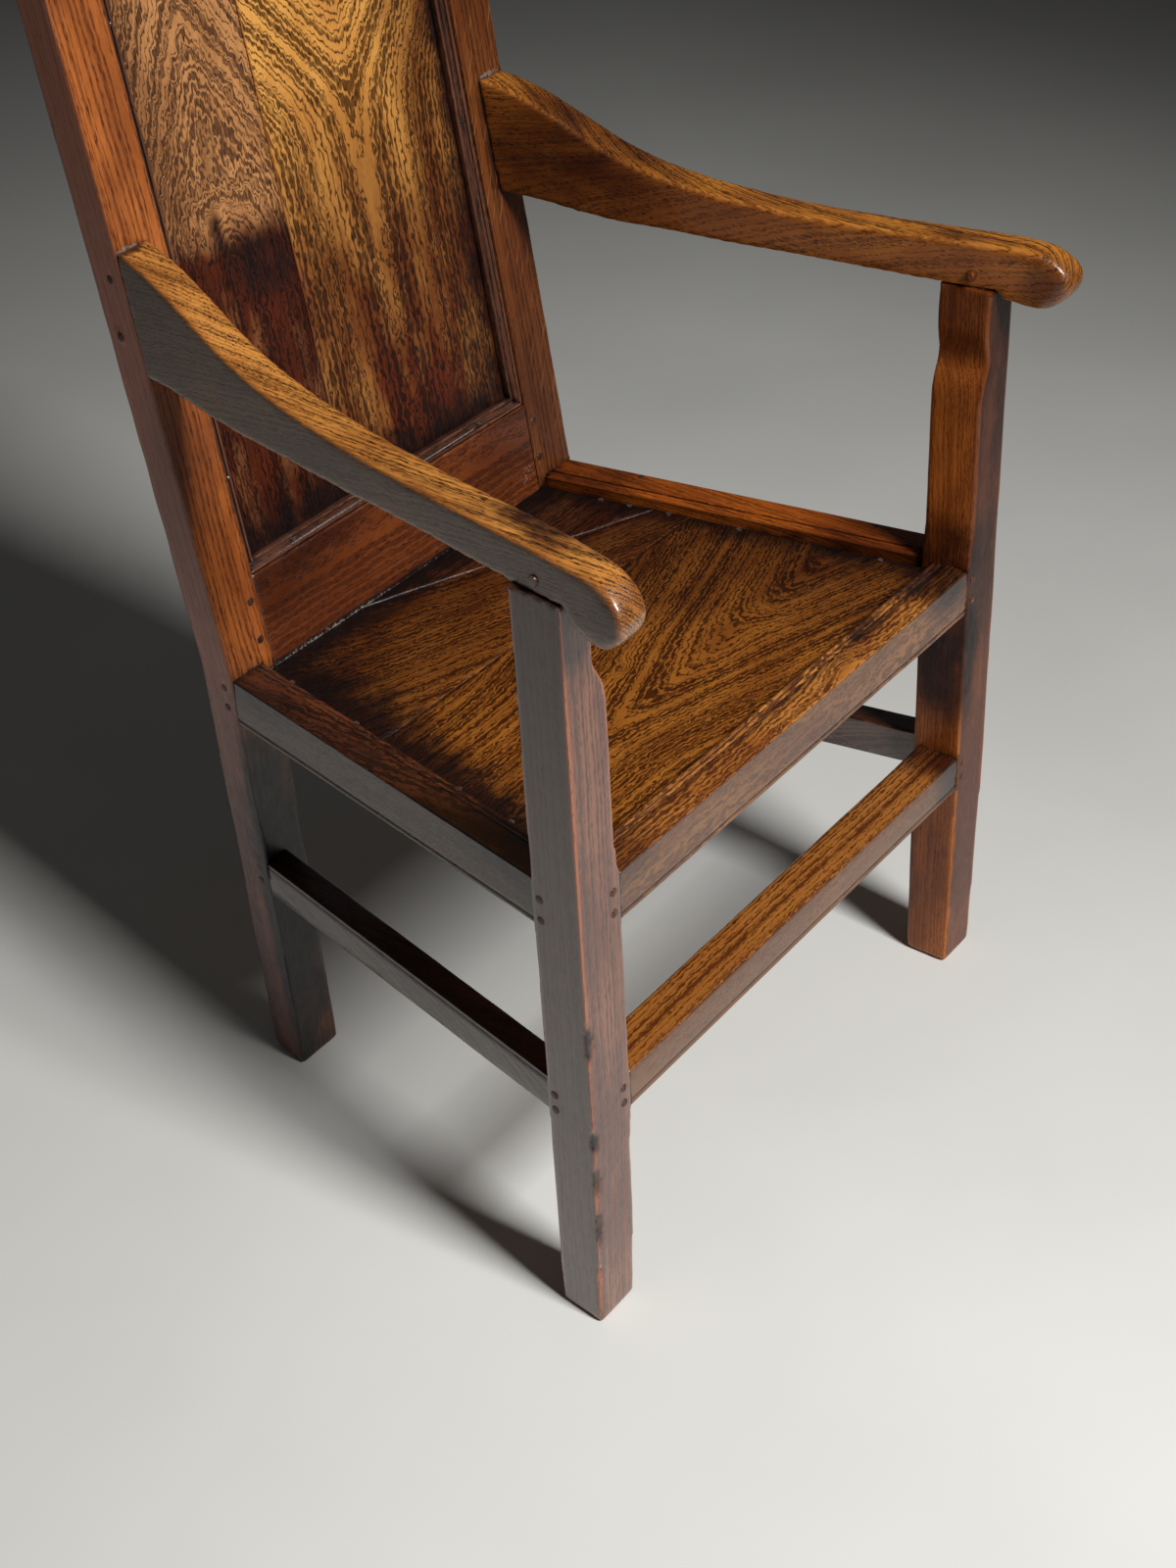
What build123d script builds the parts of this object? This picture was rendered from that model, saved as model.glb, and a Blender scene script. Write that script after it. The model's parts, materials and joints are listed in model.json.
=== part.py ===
from build123d import *
from collections import namedtuple
import math
import os

# A joined oak armchair with a panelled back, open arms and a boarded seat.
# Millimetres, +Z up. The front looks along -Y, and left and right are as seen from there,
# so right is +X. Sizes run back from the front face of the front posts (y = 0); at the end
# the whole chair is moved so that its origin is the bottom centre of its bounding box.

# ---- overall sizes ----
SEAT_HEIGHT = 430.0          # floor to the top of the seat rails
FRONT_WIDTH = 576.0          # across the front posts, at their front faces
BACK_WIDTH = 438.0           # across the back stiles at seat height
SEAT_RUN = 401.0             # front face of the posts to front face of the stiles
BACK_RISE = 655.0            # stile length above the seat, measured up the rake
BACK_RAKE = 8.0              # degrees that the back leans from the plumb
ARM_SEAT_Z = 673.0           # underside of the arm where it sits on the front post

# ---- front posts ----
POST_WIDTH = 47.0
POST_DEPTH = 46.0
POST_FLARE = 40.0            # length of the swell just above the seat
POST_NECK_WIDTH = 43.5       # above the swell
POST_NECK_RISE = 120.0       # seat to where the neck starts to thin
POST_HEAD_WIDTH = 31.0       # under the arm
POST_HEAD_LENGTH = 51.0      # straight length of the head below the arm
POST_TENON_WIDTH = 26.0
POST_TENON_THICKNESS = 11.0
POST_TENON_HEIGHT = 21.0
FOOT_CHAMFER = 2.5
FOOT_TAPER_FRONT = 4.0       # worn off the front of the front feet, below the stretchers
FOOT_TAPER_INNER = 3.0       # and off their inner faces

# ---- back stiles ----
STILE_WIDTH = 47.0
STILE_DEPTH = 42.4
FOOT_LEAN_IN = 16.0          # how far the back feet stand in from plumb
FOOT_LEAN_BACK = 7.0         # how far they stand back from plumb
STILE_TOP_CHAMFER = 2.0

# ---- seat rails ----
RAIL_HEIGHT = 42.0
RAIL_TOP_WIDTH = 34.0        # outer face to the edge of the seat opening
RAIL_SETBACK = 0.8           # outer faces of the rails behind the faces of the legs
RAIL_BACK_GAP = 0.4          # back of the front rail short of the backs of the posts
SEAT_DROP = 10.0             # top of the boards below the top of the rails
BAND_WIDTH = 24.6            # flat band on the rail's top, outside the two reeds
REED_WIDTH = 4.7             # the outer reed; the inner one takes the rest of the top
REED_SINK = 0.7
QUIRK_DEPTH = 1.9
QUIRK_WIDTH = 1.2
LIP_DROP = 3.6               # how far the inner reed rounds over
SCRATCH_RISE = 5.0           # scratched line above the bottom edge of a rail
SCRATCH_DEPTH = 0.9
SCRATCH_WIDTH = 1.8

# ---- seat boards ----
BOARD_THICKNESS = 15.0
BOARD_GAP = 0.35             # between boards, and round the legs and the front rail
BOARD_SHRINK_GAP = 3.2       # at the right rail, where the boards have shrunk away
BOARD_TONGUE = 5.0           # how far the boards run into the back rail's groove
BOARD_FIT = 0.15             # room for them in that groove
FRONT_JOINT_DROP = 144.0     # joint of the front board, in front of the stiles
WEDGE_RUN_OUT = 66.0         # where the wedge board ends at the back rail, left of centre
WEDGE_JOINT_X = 194.0        # a second point of its joint, right of centre ...
WEDGE_JOINT_DROP = 107.0     # ... and this far in front of the stiles

# ---- stretchers ----
STRETCHER_BOTTOM = 206.0
STRETCHER_HEIGHT = 34.0
FRONT_STRETCHER_DEPTH = 39.0
SIDE_STRETCHER_THICKNESS = 24.0
GROOVE_LINE_DROP = 4.0       # scratched line below the top of the side stretchers

# ---- back frame and panel ----
FRAME_THICKNESS = 30.0
BOTTOM_RAIL_TOP = 72.0       # up the rake from the top of the seat rails
BOTTOM_RAIL_DROP = 40.0      # down the rake from the same line
CREST_HEIGHT = 72.0
PANEL_SET = 13.0             # face of the panel behind the face of the frame
PANEL_THICKNESS = 11.0
PANEL_FIT = 0.15             # room for the panel in its grooves
GROOVE_DEPTH = 8.0
PANEL_EDGE_GAP = 1.0         # room left at the bottom of the grooves
PANEL_JOINT_OFFSET = 40.0    # joint of the two panel boards, left of centre
PANEL_JOINT_GAP = 0.3
MOULDING_WIDTH = 10.0
MOULDING_SINK = 1.5          # outer bead behind the face of the frame
MOULDING_STEP = 4.0          # inner bead below the outer bead
MOULDING_BEAD = 3.0

# ---- arms ----
ARM_THICKNESS = 30.0
ARM_BACK_LOW = 686.0         # underside of the arm at the stile
ARM_BACK_HIGH = 781.0        # top of the arm at the stile
ARM_NECK_TOP = 708.0         # top of the arm at its thinnest
ARM_SWEEP_RUN = 195.0        # length over which the top rises to the stile
ARM_SWEEP = ((0.28, 0.78), (0.59, 0.39), (1.0, 0.12))    # share of that run, share of the rise
ARM_UNDER_RISE = 4.0         # rise of the underside before its last bend
ARM_UNDER_BEND = 120.0       # where that bend starts, in front of the stile
ARM_NOSE_START = 14.0        # where the top starts to round, in front of the post
ARM_DROP_HEEL = 1.5          # back of the drop, in front of the post
# The noses were sawn by eye and differ. Each has the height of its top and of its foremost
# point, that point's reach in front of the post, and the depth and height of its lowest point.
Nose = namedtuple("Nose", "top tip_z reach drop_reach drop_z")
LEFT_NOSE = Nose(top=704.5, tip_z=680.0, reach=54.0, drop_reach=28.0, drop_z=653.0)
RIGHT_NOSE = Nose(top=710.0, tip_z=687.0, reach=58.0, drop_reach=27.0, drop_z=662.0)
ARM_EASE = 2.0               # rounding along the arm's long edges
ARM_TENON_THICKNESS = 10.0
ARM_TENON_LENGTH = 32.0
ARM_TENON_HAUNCH = 17.0      # tenon edges inside the arm's own edges

# ---- joints, pegs and nails ----
FIT = 0.12                   # clearance round each tenon, on every side
TENON_THICKNESS = 9.0
TENON_SET = 9.0              # tenon behind the outer faces
TENON_HAUNCH = 5.0           # tenon edges inside the rail's own edges
FRONT_TENON_LENGTH = 32.0
SIDE_TENON_LENGTH = 23.0
BACK_TENON_LENGTH = 22.0
BACK_TENON_SPARE = 2.0       # back tenon edges past the bottom of the panel groove
PEG_RADIUS = 3.8
PEG_FIT = 0.05
PEG_PROUD = 0.5
POST_PEG_SET = 8.0           # pegs behind the shoulders of the front and post joints
STILE_PEG_SET = 13.0         # pegs behind the shoulders of the side joints at the stiles
ARM_PEG_SET = 21.0
ARM_PEG_RISE = 10.0          # peg through the post's top tenon, above the arm's seat
PEG_EDGE_ROOM = 1.0          # pairs of pegs drawn in from the quarter points
FRONT_PEG_LENGTH = 30.0
SIDE_PEG_LENGTH = 26.0
STILE_PEG_LENGTH = 21.0
NAIL_RADIUS = 1.1
NAIL_FIT = 0.05
NAIL_HEAD_RADIUS = 2.4
NAIL_HEAD_HEIGHT = 0.7
BOARD_NAIL_LENGTH = 24.0
BOARD_NAIL_SET = 6.2         # from the inner edge of the rail's top
RIGHT_NAILS_FROM_RAIL = (45.0, 174.0)          # behind the front rail's inner edge
RIGHT_NAILS_FROM_STILE = (125.0, 87.0, 59.0)   # in front of the stiles
LEFT_NAILS_FROM_RAIL = (75.0, 133.0)
LEFT_NAILS_FROM_STILE = (111.0, 29.0)
SPRIG_LENGTH = 14.0
SPRIG_SLOPE = 0.3            # fall towards the panel for each unit towards the frame
SPRIG_SHARES = (0.16, 0.5, 0.84)
TACK_LENGTH = 9.0
TACK_SET = 5.0               # from the outer edge of the right rail
TACKS_FROM_STILE = (76.0, 297.0)

# ---- worked out from the sizes above ----
HALF_FRONT = FRONT_WIDTH / 2
HALF_BACK = BACK_WIDTH / 2
SPLAY = (HALF_FRONT - HALF_BACK) / SEAT_RUN
RAKE = math.radians(BACK_RAKE)
POST_INNER = HALF_FRONT - POST_WIDTH
STILE_INNER = HALF_BACK - STILE_WIDTH
RAIL_BOTTOM = SEAT_HEIGHT - RAIL_HEIGHT
RAIL_THICKNESS = POST_DEPTH - RAIL_SETBACK - RAIL_BACK_GAP
BOARD_TOP = SEAT_HEIGHT - SEAT_DROP
BOARD_BOTTOM = BOARD_TOP - BOARD_THICKNESS
BOARD_FRONT = RAIL_SETBACK + RAIL_TOP_WIDTH
STRETCHER_TOP = STRETCHER_BOTTOM + STRETCHER_HEIGHT
CREST_LOW = BACK_RISE - CREST_HEIGHT
PANEL_BACK = PANEL_SET + PANEL_THICKNESS
FAR = 2 * (SEAT_HEIGHT + BACK_RISE)      # longer than the chair, for cutting tools

# The back frame lies in a plane that leans by the rake. In it x runs across the chair,
# y up the rake from the top of the seat rails, and z out of the frame's front face.
BACK = Plane(
    origin=(0, SEAT_RUN, SEAT_HEIGHT), x_dir=(1, 0, 0), z_dir=(0, -math.cos(RAKE), math.sin(RAKE))
)
# Front face of the stiles below the seat, looking forwards.
LEG_FACE = Plane(
    origin=(0, SEAT_RUN, SEAT_HEIGHT), x_dir=(1, 0, 0), z_dir=(0, -SEAT_HEIGHT, -FOOT_LEAN_BACK)
)


def stile_front_y(z):
    """Y of the stile's front face at height z."""
    if z >= SEAT_HEIGHT:
        return SEAT_RUN + (z - SEAT_HEIGHT) * math.tan(RAKE)
    return SEAT_RUN + FOOT_LEAN_BACK * (SEAT_HEIGHT - z) / SEAT_HEIGHT


def stile_outer_x(z):
    """X of the stile's outer front arris at height z."""
    return HALF_BACK - FOOT_LEAN_IN * max(0.0, SEAT_HEIGHT - z) / SEAT_HEIGHT


def stile_inner_x(z):
    """X of the stile's inner face at height z."""
    return STILE_INNER - HALF_BACK + stile_outer_x(z)


def outer_x(y):
    """X of the line along the outer faces of the seat frame at depth y."""
    return HALF_FRONT - SPLAY * y


def block(x0, x1, y0, y1, z0, z1):
    """A box from its lowest to its highest corner."""
    return Pos((x0 + x1) / 2, (y0 + y1) / 2, (z0 + z1) / 2) * Box(x1 - x0, y1 - y0, z1 - z0)


def back_block(x0, x1, up0, up1, deep0, deep1):
    """A box in the back frame, from deep0 to deep1 behind the frame's front face."""
    return BACK.location * block(x0, x1, up0, up1, -deep1, -deep0)


def prism(points, z0, z1):
    """An upright prism on a plan outline of (x, y) points."""
    return extrude(Pos(0, 0, z0) * make_face(Polyline(*points, close=True)), amount=z1 - z0)


def other_side(shape):
    """The same piece for the other side of the chair."""
    return mirror(shape, about=Plane.YZ)


def between_stiles():
    """The space between the inner faces of the two stiles."""
    half = [(stile_inner_x(z), z) for z in (0, SEAT_HEIGHT, FAR)]
    outline = half + [(-x, z) for x, z in reversed(half)]
    return extrude(Plane.XZ * make_face(Polyline(*outline, close=True)), amount=-FAR)


def front_of(shape, face):
    """What lies on the side that a plane looks to."""
    return split(shape, bisect_by=face, keep=Keep.TOP)


class SideLine:
    """The plan of a member that runs from a front post to a back stile on the +X side.

    Its own frame has x along the member from the post to the stile, y in from the outer
    faces, and z up.
    """

    def __init__(self, z):
        front = Vector(outer_x(POST_DEPTH), POST_DEPTH, 0)
        run = Vector(stile_outer_x(z), stile_front_y(z), 0) - front
        self.length = run.length
        self.front = front
        self.slope = -run.X / run.Y
        self.plane = Plane(origin=front, x_dir=run.normalized(), z_dir=(0, 0, 1))

    def bar(self, start, end, inward0, inward1, z0, z1):
        """A box in the member's own frame, from start before the post to end past the stile."""
        return self.plane.location * block(-start, self.length + end, inward0, inward1, z0, z1)

    def point(self, along, z):
        """A point on the outer faces; a distance below 0 lies in the post."""
        return self.plane.from_local_coords(Vector(along, 0, z))

    def x_at(self, y, inward):
        """X at depth y of the line that lies this far in from the outer faces."""
        return self.front.X - self.slope * (y - self.front.Y) - inward * math.hypot(1, self.slope)

    def sweep(self, section, setback):
        """Runs a section past both ends of the line, its outer face outwards."""
        start = self.plane.from_local_coords(Vector(-POST_DEPTH, setback, 0))
        plane = Plane(origin=start, x_dir=self.plane.y_dir, z_dir=self.plane.x_dir)
        return extrude(plane * section, amount=self.length + 2 * POST_DEPTH)


RAIL_LINE = SideLine((RAIL_BOTTOM + SEAT_HEIGHT) / 2)
STRETCHER_LINE = SideLine((STRETCHER_BOTTOM + STRETCHER_TOP) / 2)
ARM_LINE = SideLine((ARM_BACK_LOW + ARM_BACK_HIGH) / 2)


# ---- sections: x in from the outer face, y up from the floor ----
def scratch(line_z):
    """The three points of a scratched line in an outer face, from below."""
    half = SCRATCH_WIDTH / 2
    return [(0, line_z - half), (SCRATCH_DEPTH, line_z), (0, line_z + half)]


def rail_section():
    """A seat rail: two reeds along the inner edge of its top, and a ledge for the boards."""
    reed_top = SEAT_HEIGHT - REED_SINK
    quirk_z = SEAT_HEIGHT - QUIRK_DEPTH
    quirk_x = BAND_WIDTH + REED_WIDTH
    lip_z = reed_top - LIP_DROP
    lip_middle = (quirk_x + RAIL_TOP_WIDTH) / 2
    edges = Polyline(
        (RAIL_TOP_WIDTH, lip_z),
        (RAIL_TOP_WIDTH, BOARD_BOTTOM),
        (RAIL_THICKNESS, BOARD_BOTTOM),
        (RAIL_THICKNESS, RAIL_BOTTOM),
        (0, RAIL_BOTTOM),
        *scratch(RAIL_BOTTOM + SCRATCH_RISE),
        (0, SEAT_HEIGHT),
        (BAND_WIDTH - QUIRK_WIDTH, SEAT_HEIGHT),
        (BAND_WIDTH, quirk_z),
    )
    reed_middle = BAND_WIDTH + REED_WIDTH / 2
    outer_reed = ThreePointArc((BAND_WIDTH, quirk_z), (reed_middle, reed_top), (quirk_x, quirk_z))
    inner_reed = ThreePointArc((quirk_x, quirk_z), (lip_middle, reed_top), (RAIL_TOP_WIDTH, lip_z))
    return make_face(edges + outer_reed + inner_reed)


def stretcher_section(thickness, line_z):
    """A stretcher with one scratched line on its outer face."""
    return make_face(
        Polyline(
            (0, STRETCHER_TOP),
            (thickness, STRETCHER_TOP),
            (thickness, STRETCHER_BOTTOM),
            (0, STRETCHER_BOTTOM),
            *scratch(line_z),
            close=True,
        )
    )


def moulding_section():
    """The panel moulding: x from the frame towards the panel, y from the panel to the front."""
    high = PANEL_SET - MOULDING_SINK
    low = high - MOULDING_STEP
    half = MOULDING_BEAD / 2
    outer_end = (MOULDING_BEAD, high - half)
    inner_start = (MOULDING_WIDTH - MOULDING_BEAD, low - half)
    outer_bead = ThreePointArc((0, high - half), (half, high), outer_end)
    hollow_dip = (inner_start[0] - half, low - half)
    hollow = Line(outer_end, hollow_dip) + Line(hollow_dip, inner_start)
    inner_bead = ThreePointArc(inner_start, (MOULDING_WIDTH - half, low), (MOULDING_WIDTH, low - half))
    base = Polyline((MOULDING_WIDTH, low - half), (MOULDING_WIDTH, 0), (0, 0), (0, high - half))
    return make_face(outer_bead + hollow + inner_bead + base)


# ---- tenons: one tool shapes the tenon, and a slightly larger one its mortise ----
def front_tenon(low, high, grow=0.0):
    """The tenon of the front rail or stretcher, in the post on the +X side."""
    return block(
        POST_INNER - grow, POST_INNER + FRONT_TENON_LENGTH + grow,
        TENON_SET - grow, TENON_SET + TENON_THICKNESS + grow,
        low + TENON_HAUNCH - grow, high - TENON_HAUNCH + grow,
    )


def side_tenons(line, low, high, grow=0.0):
    """Both tenons of a side member, as one bar from inside the post to inside the stile."""
    reach = SIDE_TENON_LENGTH + grow
    return line.bar(
        reach, reach,
        TENON_SET - grow, TENON_SET + TENON_THICKNESS + grow,
        low + TENON_HAUNCH - grow, high - TENON_HAUNCH + grow,
    )


def back_tenon(low, high, grow=0.0):
    """The tenon of a back rail in the stile on the +X side; low and high run up the rake."""
    haunch = GROOVE_DEPTH + BACK_TENON_SPARE
    return back_block(
        STILE_INNER - grow, STILE_INNER + BACK_TENON_LENGTH + grow,
        low + haunch - grow, high - haunch + grow,
        PANEL_SET - grow, PANEL_BACK + grow,
    )


def post_tenon(grow=0.0):
    """The tenon on top of the front post, which the arm sits on."""
    middle_y = POST_DEPTH / 2
    middle_x = outer_x(middle_y) - POST_HEAD_WIDTH / 2
    half_x = POST_TENON_THICKNESS / 2 + grow
    half_y = POST_TENON_WIDTH / 2 + grow
    return block(
        middle_x - half_x, middle_x + half_x, middle_y - half_y, middle_y + half_y,
        ARM_SEAT_Z - POST_TENON_HEIGHT, ARM_SEAT_Z + POST_TENON_HEIGHT + grow,
    )


def arm_tenon(grow=0.0):
    """The tenon at the back end of the arm, in the stile."""
    middle = ARM_THICKNESS / 2
    half = ARM_TENON_THICKNESS / 2 + grow
    return ARM_LINE.bar(
        -(ARM_LINE.length - ARM_TENON_LENGTH), ARM_TENON_LENGTH + grow,
        middle - half, middle + half,
        ARM_BACK_LOW + ARM_TENON_HAUNCH - grow, ARM_BACK_HIGH - ARM_TENON_HAUNCH + grow,
    )


def panel_groove():
    """The groove round the inside of the back frame."""
    reach = STILE_INNER + GROOVE_DEPTH
    return back_block(
        -reach, reach, BOTTOM_RAIL_TOP - GROOVE_DEPTH, CREST_LOW + GROOVE_DEPTH,
        PANEL_SET - PANEL_FIT, PANEL_BACK + PANEL_FIT,
    )


# ---- pegs and nails ----
def rod(start, way, length, radius):
    """A round rod from a point along a unit direction."""
    return Plane(origin=start, z_dir=way).location * (Pos(0, 0, length / 2) * Cylinder(radius, length))


def peg(spot, way, length, grow=0.0):
    """A peg that stands a little proud of the face at spot and runs into it."""
    return rod(spot - way * PEG_PROUD, way, length + PEG_PROUD, PEG_RADIUS + grow)


def nail(spot, way, length, grow=0.0):
    """A nail whose flat head lies on the face at spot, or the hole and seat for it."""
    head = rod(spot - way * NAIL_HEAD_HEIGHT, way, NAIL_HEAD_HEIGHT, NAIL_HEAD_RADIUS + grow)
    return rod(spot, way, length, NAIL_RADIUS + grow) + head


class Driven:
    """Like pegs or nails, each with a spot and a unit direction, that drill their own holes."""

    def __init__(self, make, spots, length, fit):
        self.make = make
        self.spots = spots
        self.length = length
        self.fit = fit

    def solids(self):
        """Every peg or nail of the set."""
        return [self.make(spot, way, self.length) for spot, way in self.spots]

    def drill(self, shape):
        """The shape with a hole for each peg or nail that reaches it."""
        for spot, way in self.spots:
            shape = shape - self.make(spot, way, self.length, self.fit)
        return shape


def on_both_sides(spots):
    """The same spots and directions on both sides of the chair."""
    flipped = [(Vector(-at.X, at.Y, at.Z), Vector(-way.X, way.Y, way.Z)) for at, way in spots]
    return spots + flipped


def pair(low, high):
    """The heights of two pegs in a joint between low and high."""
    middle = (low + high) / 2
    apart = (high - low) / 4 - PEG_EDGE_ROOM
    return (middle - apart, middle + apart)


def front_pegs(low, high):
    """Pegs through the front faces of the posts."""
    x = POST_INNER + POST_PEG_SET
    spots = [(Vector(x, 0, z), Vector(0, 1, 0)) for z in pair(low, high)]
    return Driven(peg, on_both_sides(spots), FRONT_PEG_LENGTH, PEG_FIT)


def side_pegs(line, heights, along, length):
    """Pegs through outer faces, at a distance along a side line."""
    spots = [(line.point(along, z), line.plane.y_dir) for z in heights]
    return Driven(peg, on_both_sides(spots), length, PEG_FIT)


def back_pegs(low, high):
    """Pegs through the front faces of the stiles."""
    x = STILE_INNER + POST_PEG_SET
    spots = [(BACK.from_local_coords(Vector(x, up, 0)), BACK.z_dir * -1) for up in pair(low, high)]
    return Driven(peg, on_both_sides(spots), SIDE_PEG_LENGTH, PEG_FIT)


def board_nail_spots(side, from_rail, from_stile):
    """Nails down through the ends of the seat boards into the ledge of a side rail."""
    spots = []
    for y in [BOARD_FRONT + d for d in from_rail] + [SEAT_RUN - d for d in from_stile]:
        x = RAIL_LINE.x_at(y, BOARD_FRONT + BOARD_NAIL_SET)
        spots.append((Vector(side * x, y, BOARD_TOP), Vector(0, 0, -1)))
    return spots


def tack_spots():
    """Old tacks in the flat band on top of the right rail."""
    spots = []
    for distance in TACKS_FROM_STILE:
        y = SEAT_RUN - distance
        spots.append((Vector(RAIL_LINE.x_at(y, RAIL_SETBACK + TACK_SET), y, SEAT_HEIGHT), Vector(0, 0, -1)))
    return spots


def sprig_spots():
    """Sprigs through the hollow of each moulding into the frame beside it."""
    deep = MOULDING_SINK + MOULDING_STEP
    inset = MOULDING_WIDTH / 2
    fall = math.hypot(1, SPRIG_SLOPE)
    sight = CREST_LOW - BOTTOM_RAIL_TOP
    places = []
    for share in SPRIG_SHARES:
        up = BOTTOM_RAIL_TOP + share * sight
        places.append((STILE_INNER - inset, up, 1, 0))
        places.append((inset - STILE_INNER, up, -1, 0))
        x = (share - 0.5) * 2 * STILE_INNER
        places.append((x, BOTTOM_RAIL_TOP + inset, 0, -1))
        places.append((x, CREST_LOW - inset, 0, 1))
    spots = []
    for x, up, across, along in places:
        way = (BACK.x_dir * across + BACK.y_dir * along - BACK.z_dir * SPRIG_SLOPE) * (1 / fall)
        spots.append((BACK.from_local_coords(Vector(x, up, -deep)), way))
    return spots


RAIL_PEGS = front_pegs(RAIL_BOTTOM, SEAT_HEIGHT)
STRETCHER_PEGS = front_pegs(STRETCHER_BOTTOM, STRETCHER_TOP)
RAIL_POST_PEGS = side_pegs(RAIL_LINE, pair(RAIL_BOTTOM, SEAT_HEIGHT), -POST_PEG_SET, SIDE_PEG_LENGTH)
RAIL_STILE_PEGS = side_pegs(
    RAIL_LINE, pair(RAIL_BOTTOM, SEAT_HEIGHT), RAIL_LINE.length + STILE_PEG_SET, STILE_PEG_LENGTH
)
STRETCHER_POST_PEGS = side_pegs(
    STRETCHER_LINE, pair(STRETCHER_BOTTOM, STRETCHER_TOP), -POST_PEG_SET, SIDE_PEG_LENGTH
)
STRETCHER_STILE_PEGS = side_pegs(
    STRETCHER_LINE, pair(STRETCHER_BOTTOM, STRETCHER_TOP),
    STRETCHER_LINE.length + STILE_PEG_SET, STILE_PEG_LENGTH,
)
BOTTOM_RAIL_PEGS = back_pegs(0.0, BOTTOM_RAIL_TOP)
CREST_PEGS = back_pegs(CREST_LOW, BACK_RISE)
ARM_STILE_PEGS = side_pegs(
    ARM_LINE, pair(ARM_BACK_LOW, ARM_BACK_HIGH), ARM_LINE.length + ARM_PEG_SET, SIDE_PEG_LENGTH
)
ARM_POST_PEG_LENGTH = ARM_THICKNESS + PEG_PROUD
ARM_POST_PEGS = side_pegs(ARM_LINE, [ARM_SEAT_Z + ARM_PEG_RISE], -POST_DEPTH / 2, ARM_POST_PEG_LENGTH)
RIGHT_SPOTS = board_nail_spots(1, RIGHT_NAILS_FROM_RAIL, RIGHT_NAILS_FROM_STILE)
LEFT_SPOTS = board_nail_spots(-1, LEFT_NAILS_FROM_RAIL, LEFT_NAILS_FROM_STILE)
RIGHT_NAILS = Driven(nail, RIGHT_SPOTS, BOARD_NAIL_LENGTH, NAIL_FIT)
LEFT_NAILS = Driven(nail, LEFT_SPOTS, BOARD_NAIL_LENGTH, NAIL_FIT)
TACKS = Driven(nail, tack_spots(), TACK_LENGTH, NAIL_FIT)
SPRIGS = Driven(nail, sprig_spots(), SPRIG_LENGTH, NAIL_FIT)


def drilled(shape, *sets):
    """The shape with the holes of every set of pegs or nails."""
    for driven in sets:
        shape = driven.drill(shape)
    return shape


# ---- the pieces; those that come in pairs are made for the +X side ----
def front_post():
    """Front leg and arm support in one, cut back on the inside above the seat."""
    neck_x = HALF_FRONT - POST_NECK_WIDTH
    head_x = HALF_FRONT - POST_HEAD_WIDTH
    flare_z = SEAT_HEIGHT + POST_FLARE
    neck_z = SEAT_HEIGHT + POST_NECK_RISE
    head_z = ARM_SEAT_Z - POST_HEAD_LENGTH
    middle = (neck_x + (head_x - neck_x) / 3, neck_z + (head_z - neck_z) * 2 / 3)
    rising = (0, 1)
    foot = Polyline((POST_INNER, SEAT_HEIGHT), (POST_INNER, 0), (HALF_FRONT, 0), (HALF_FRONT, ARM_SEAT_Z))
    head = Polyline((HALF_FRONT, ARM_SEAT_Z), (head_x, ARM_SEAT_Z), (head_x, head_z))
    thinning = Spline((neck_x, neck_z), middle, (head_x, head_z), tangents=(rising, rising))
    neck = Line((neck_x, flare_z), (neck_x, neck_z))
    flare = Spline((POST_INNER, SEAT_HEIGHT), (neck_x, flare_z), tangents=(rising, rising))
    outline = make_face(foot + head + thinning + neck + flare)
    post = extrude(Plane.XZ * outline, amount=-POST_DEPTH)
    outer = Plane(origin=(HALF_FRONT, 0, 0), z_dir=(-1, -SPLAY, 0))
    post = front_of(post, outer)
    for x, y, way in (
        (0, 0, (0, STRETCHER_BOTTOM, FOOT_TAPER_FRONT)),
        (POST_INNER, 0, (STRETCHER_BOTTOM, 0, FOOT_TAPER_INNER)),
    ):
        post = front_of(post, Plane(origin=(x, y, STRETCHER_BOTTOM), z_dir=way))
    post = chamfer(post.faces().sort_by(Axis.Z)[0].edges(), FOOT_CHAMFER)
    post = post + post_tenon()
    post = post - front_tenon(RAIL_BOTTOM, SEAT_HEIGHT, FIT)
    post = post - front_tenon(STRETCHER_BOTTOM, STRETCHER_TOP, FIT)
    post = post - side_tenons(RAIL_LINE, RAIL_BOTTOM, SEAT_HEIGHT, FIT)
    post = post - side_tenons(STRETCHER_LINE, STRETCHER_BOTTOM, STRETCHER_TOP, FIT)
    return drilled(post, RAIL_PEGS, STRETCHER_PEGS, RAIL_POST_PEGS, STRETCHER_POST_PEGS, ARM_POST_PEGS)


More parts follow.
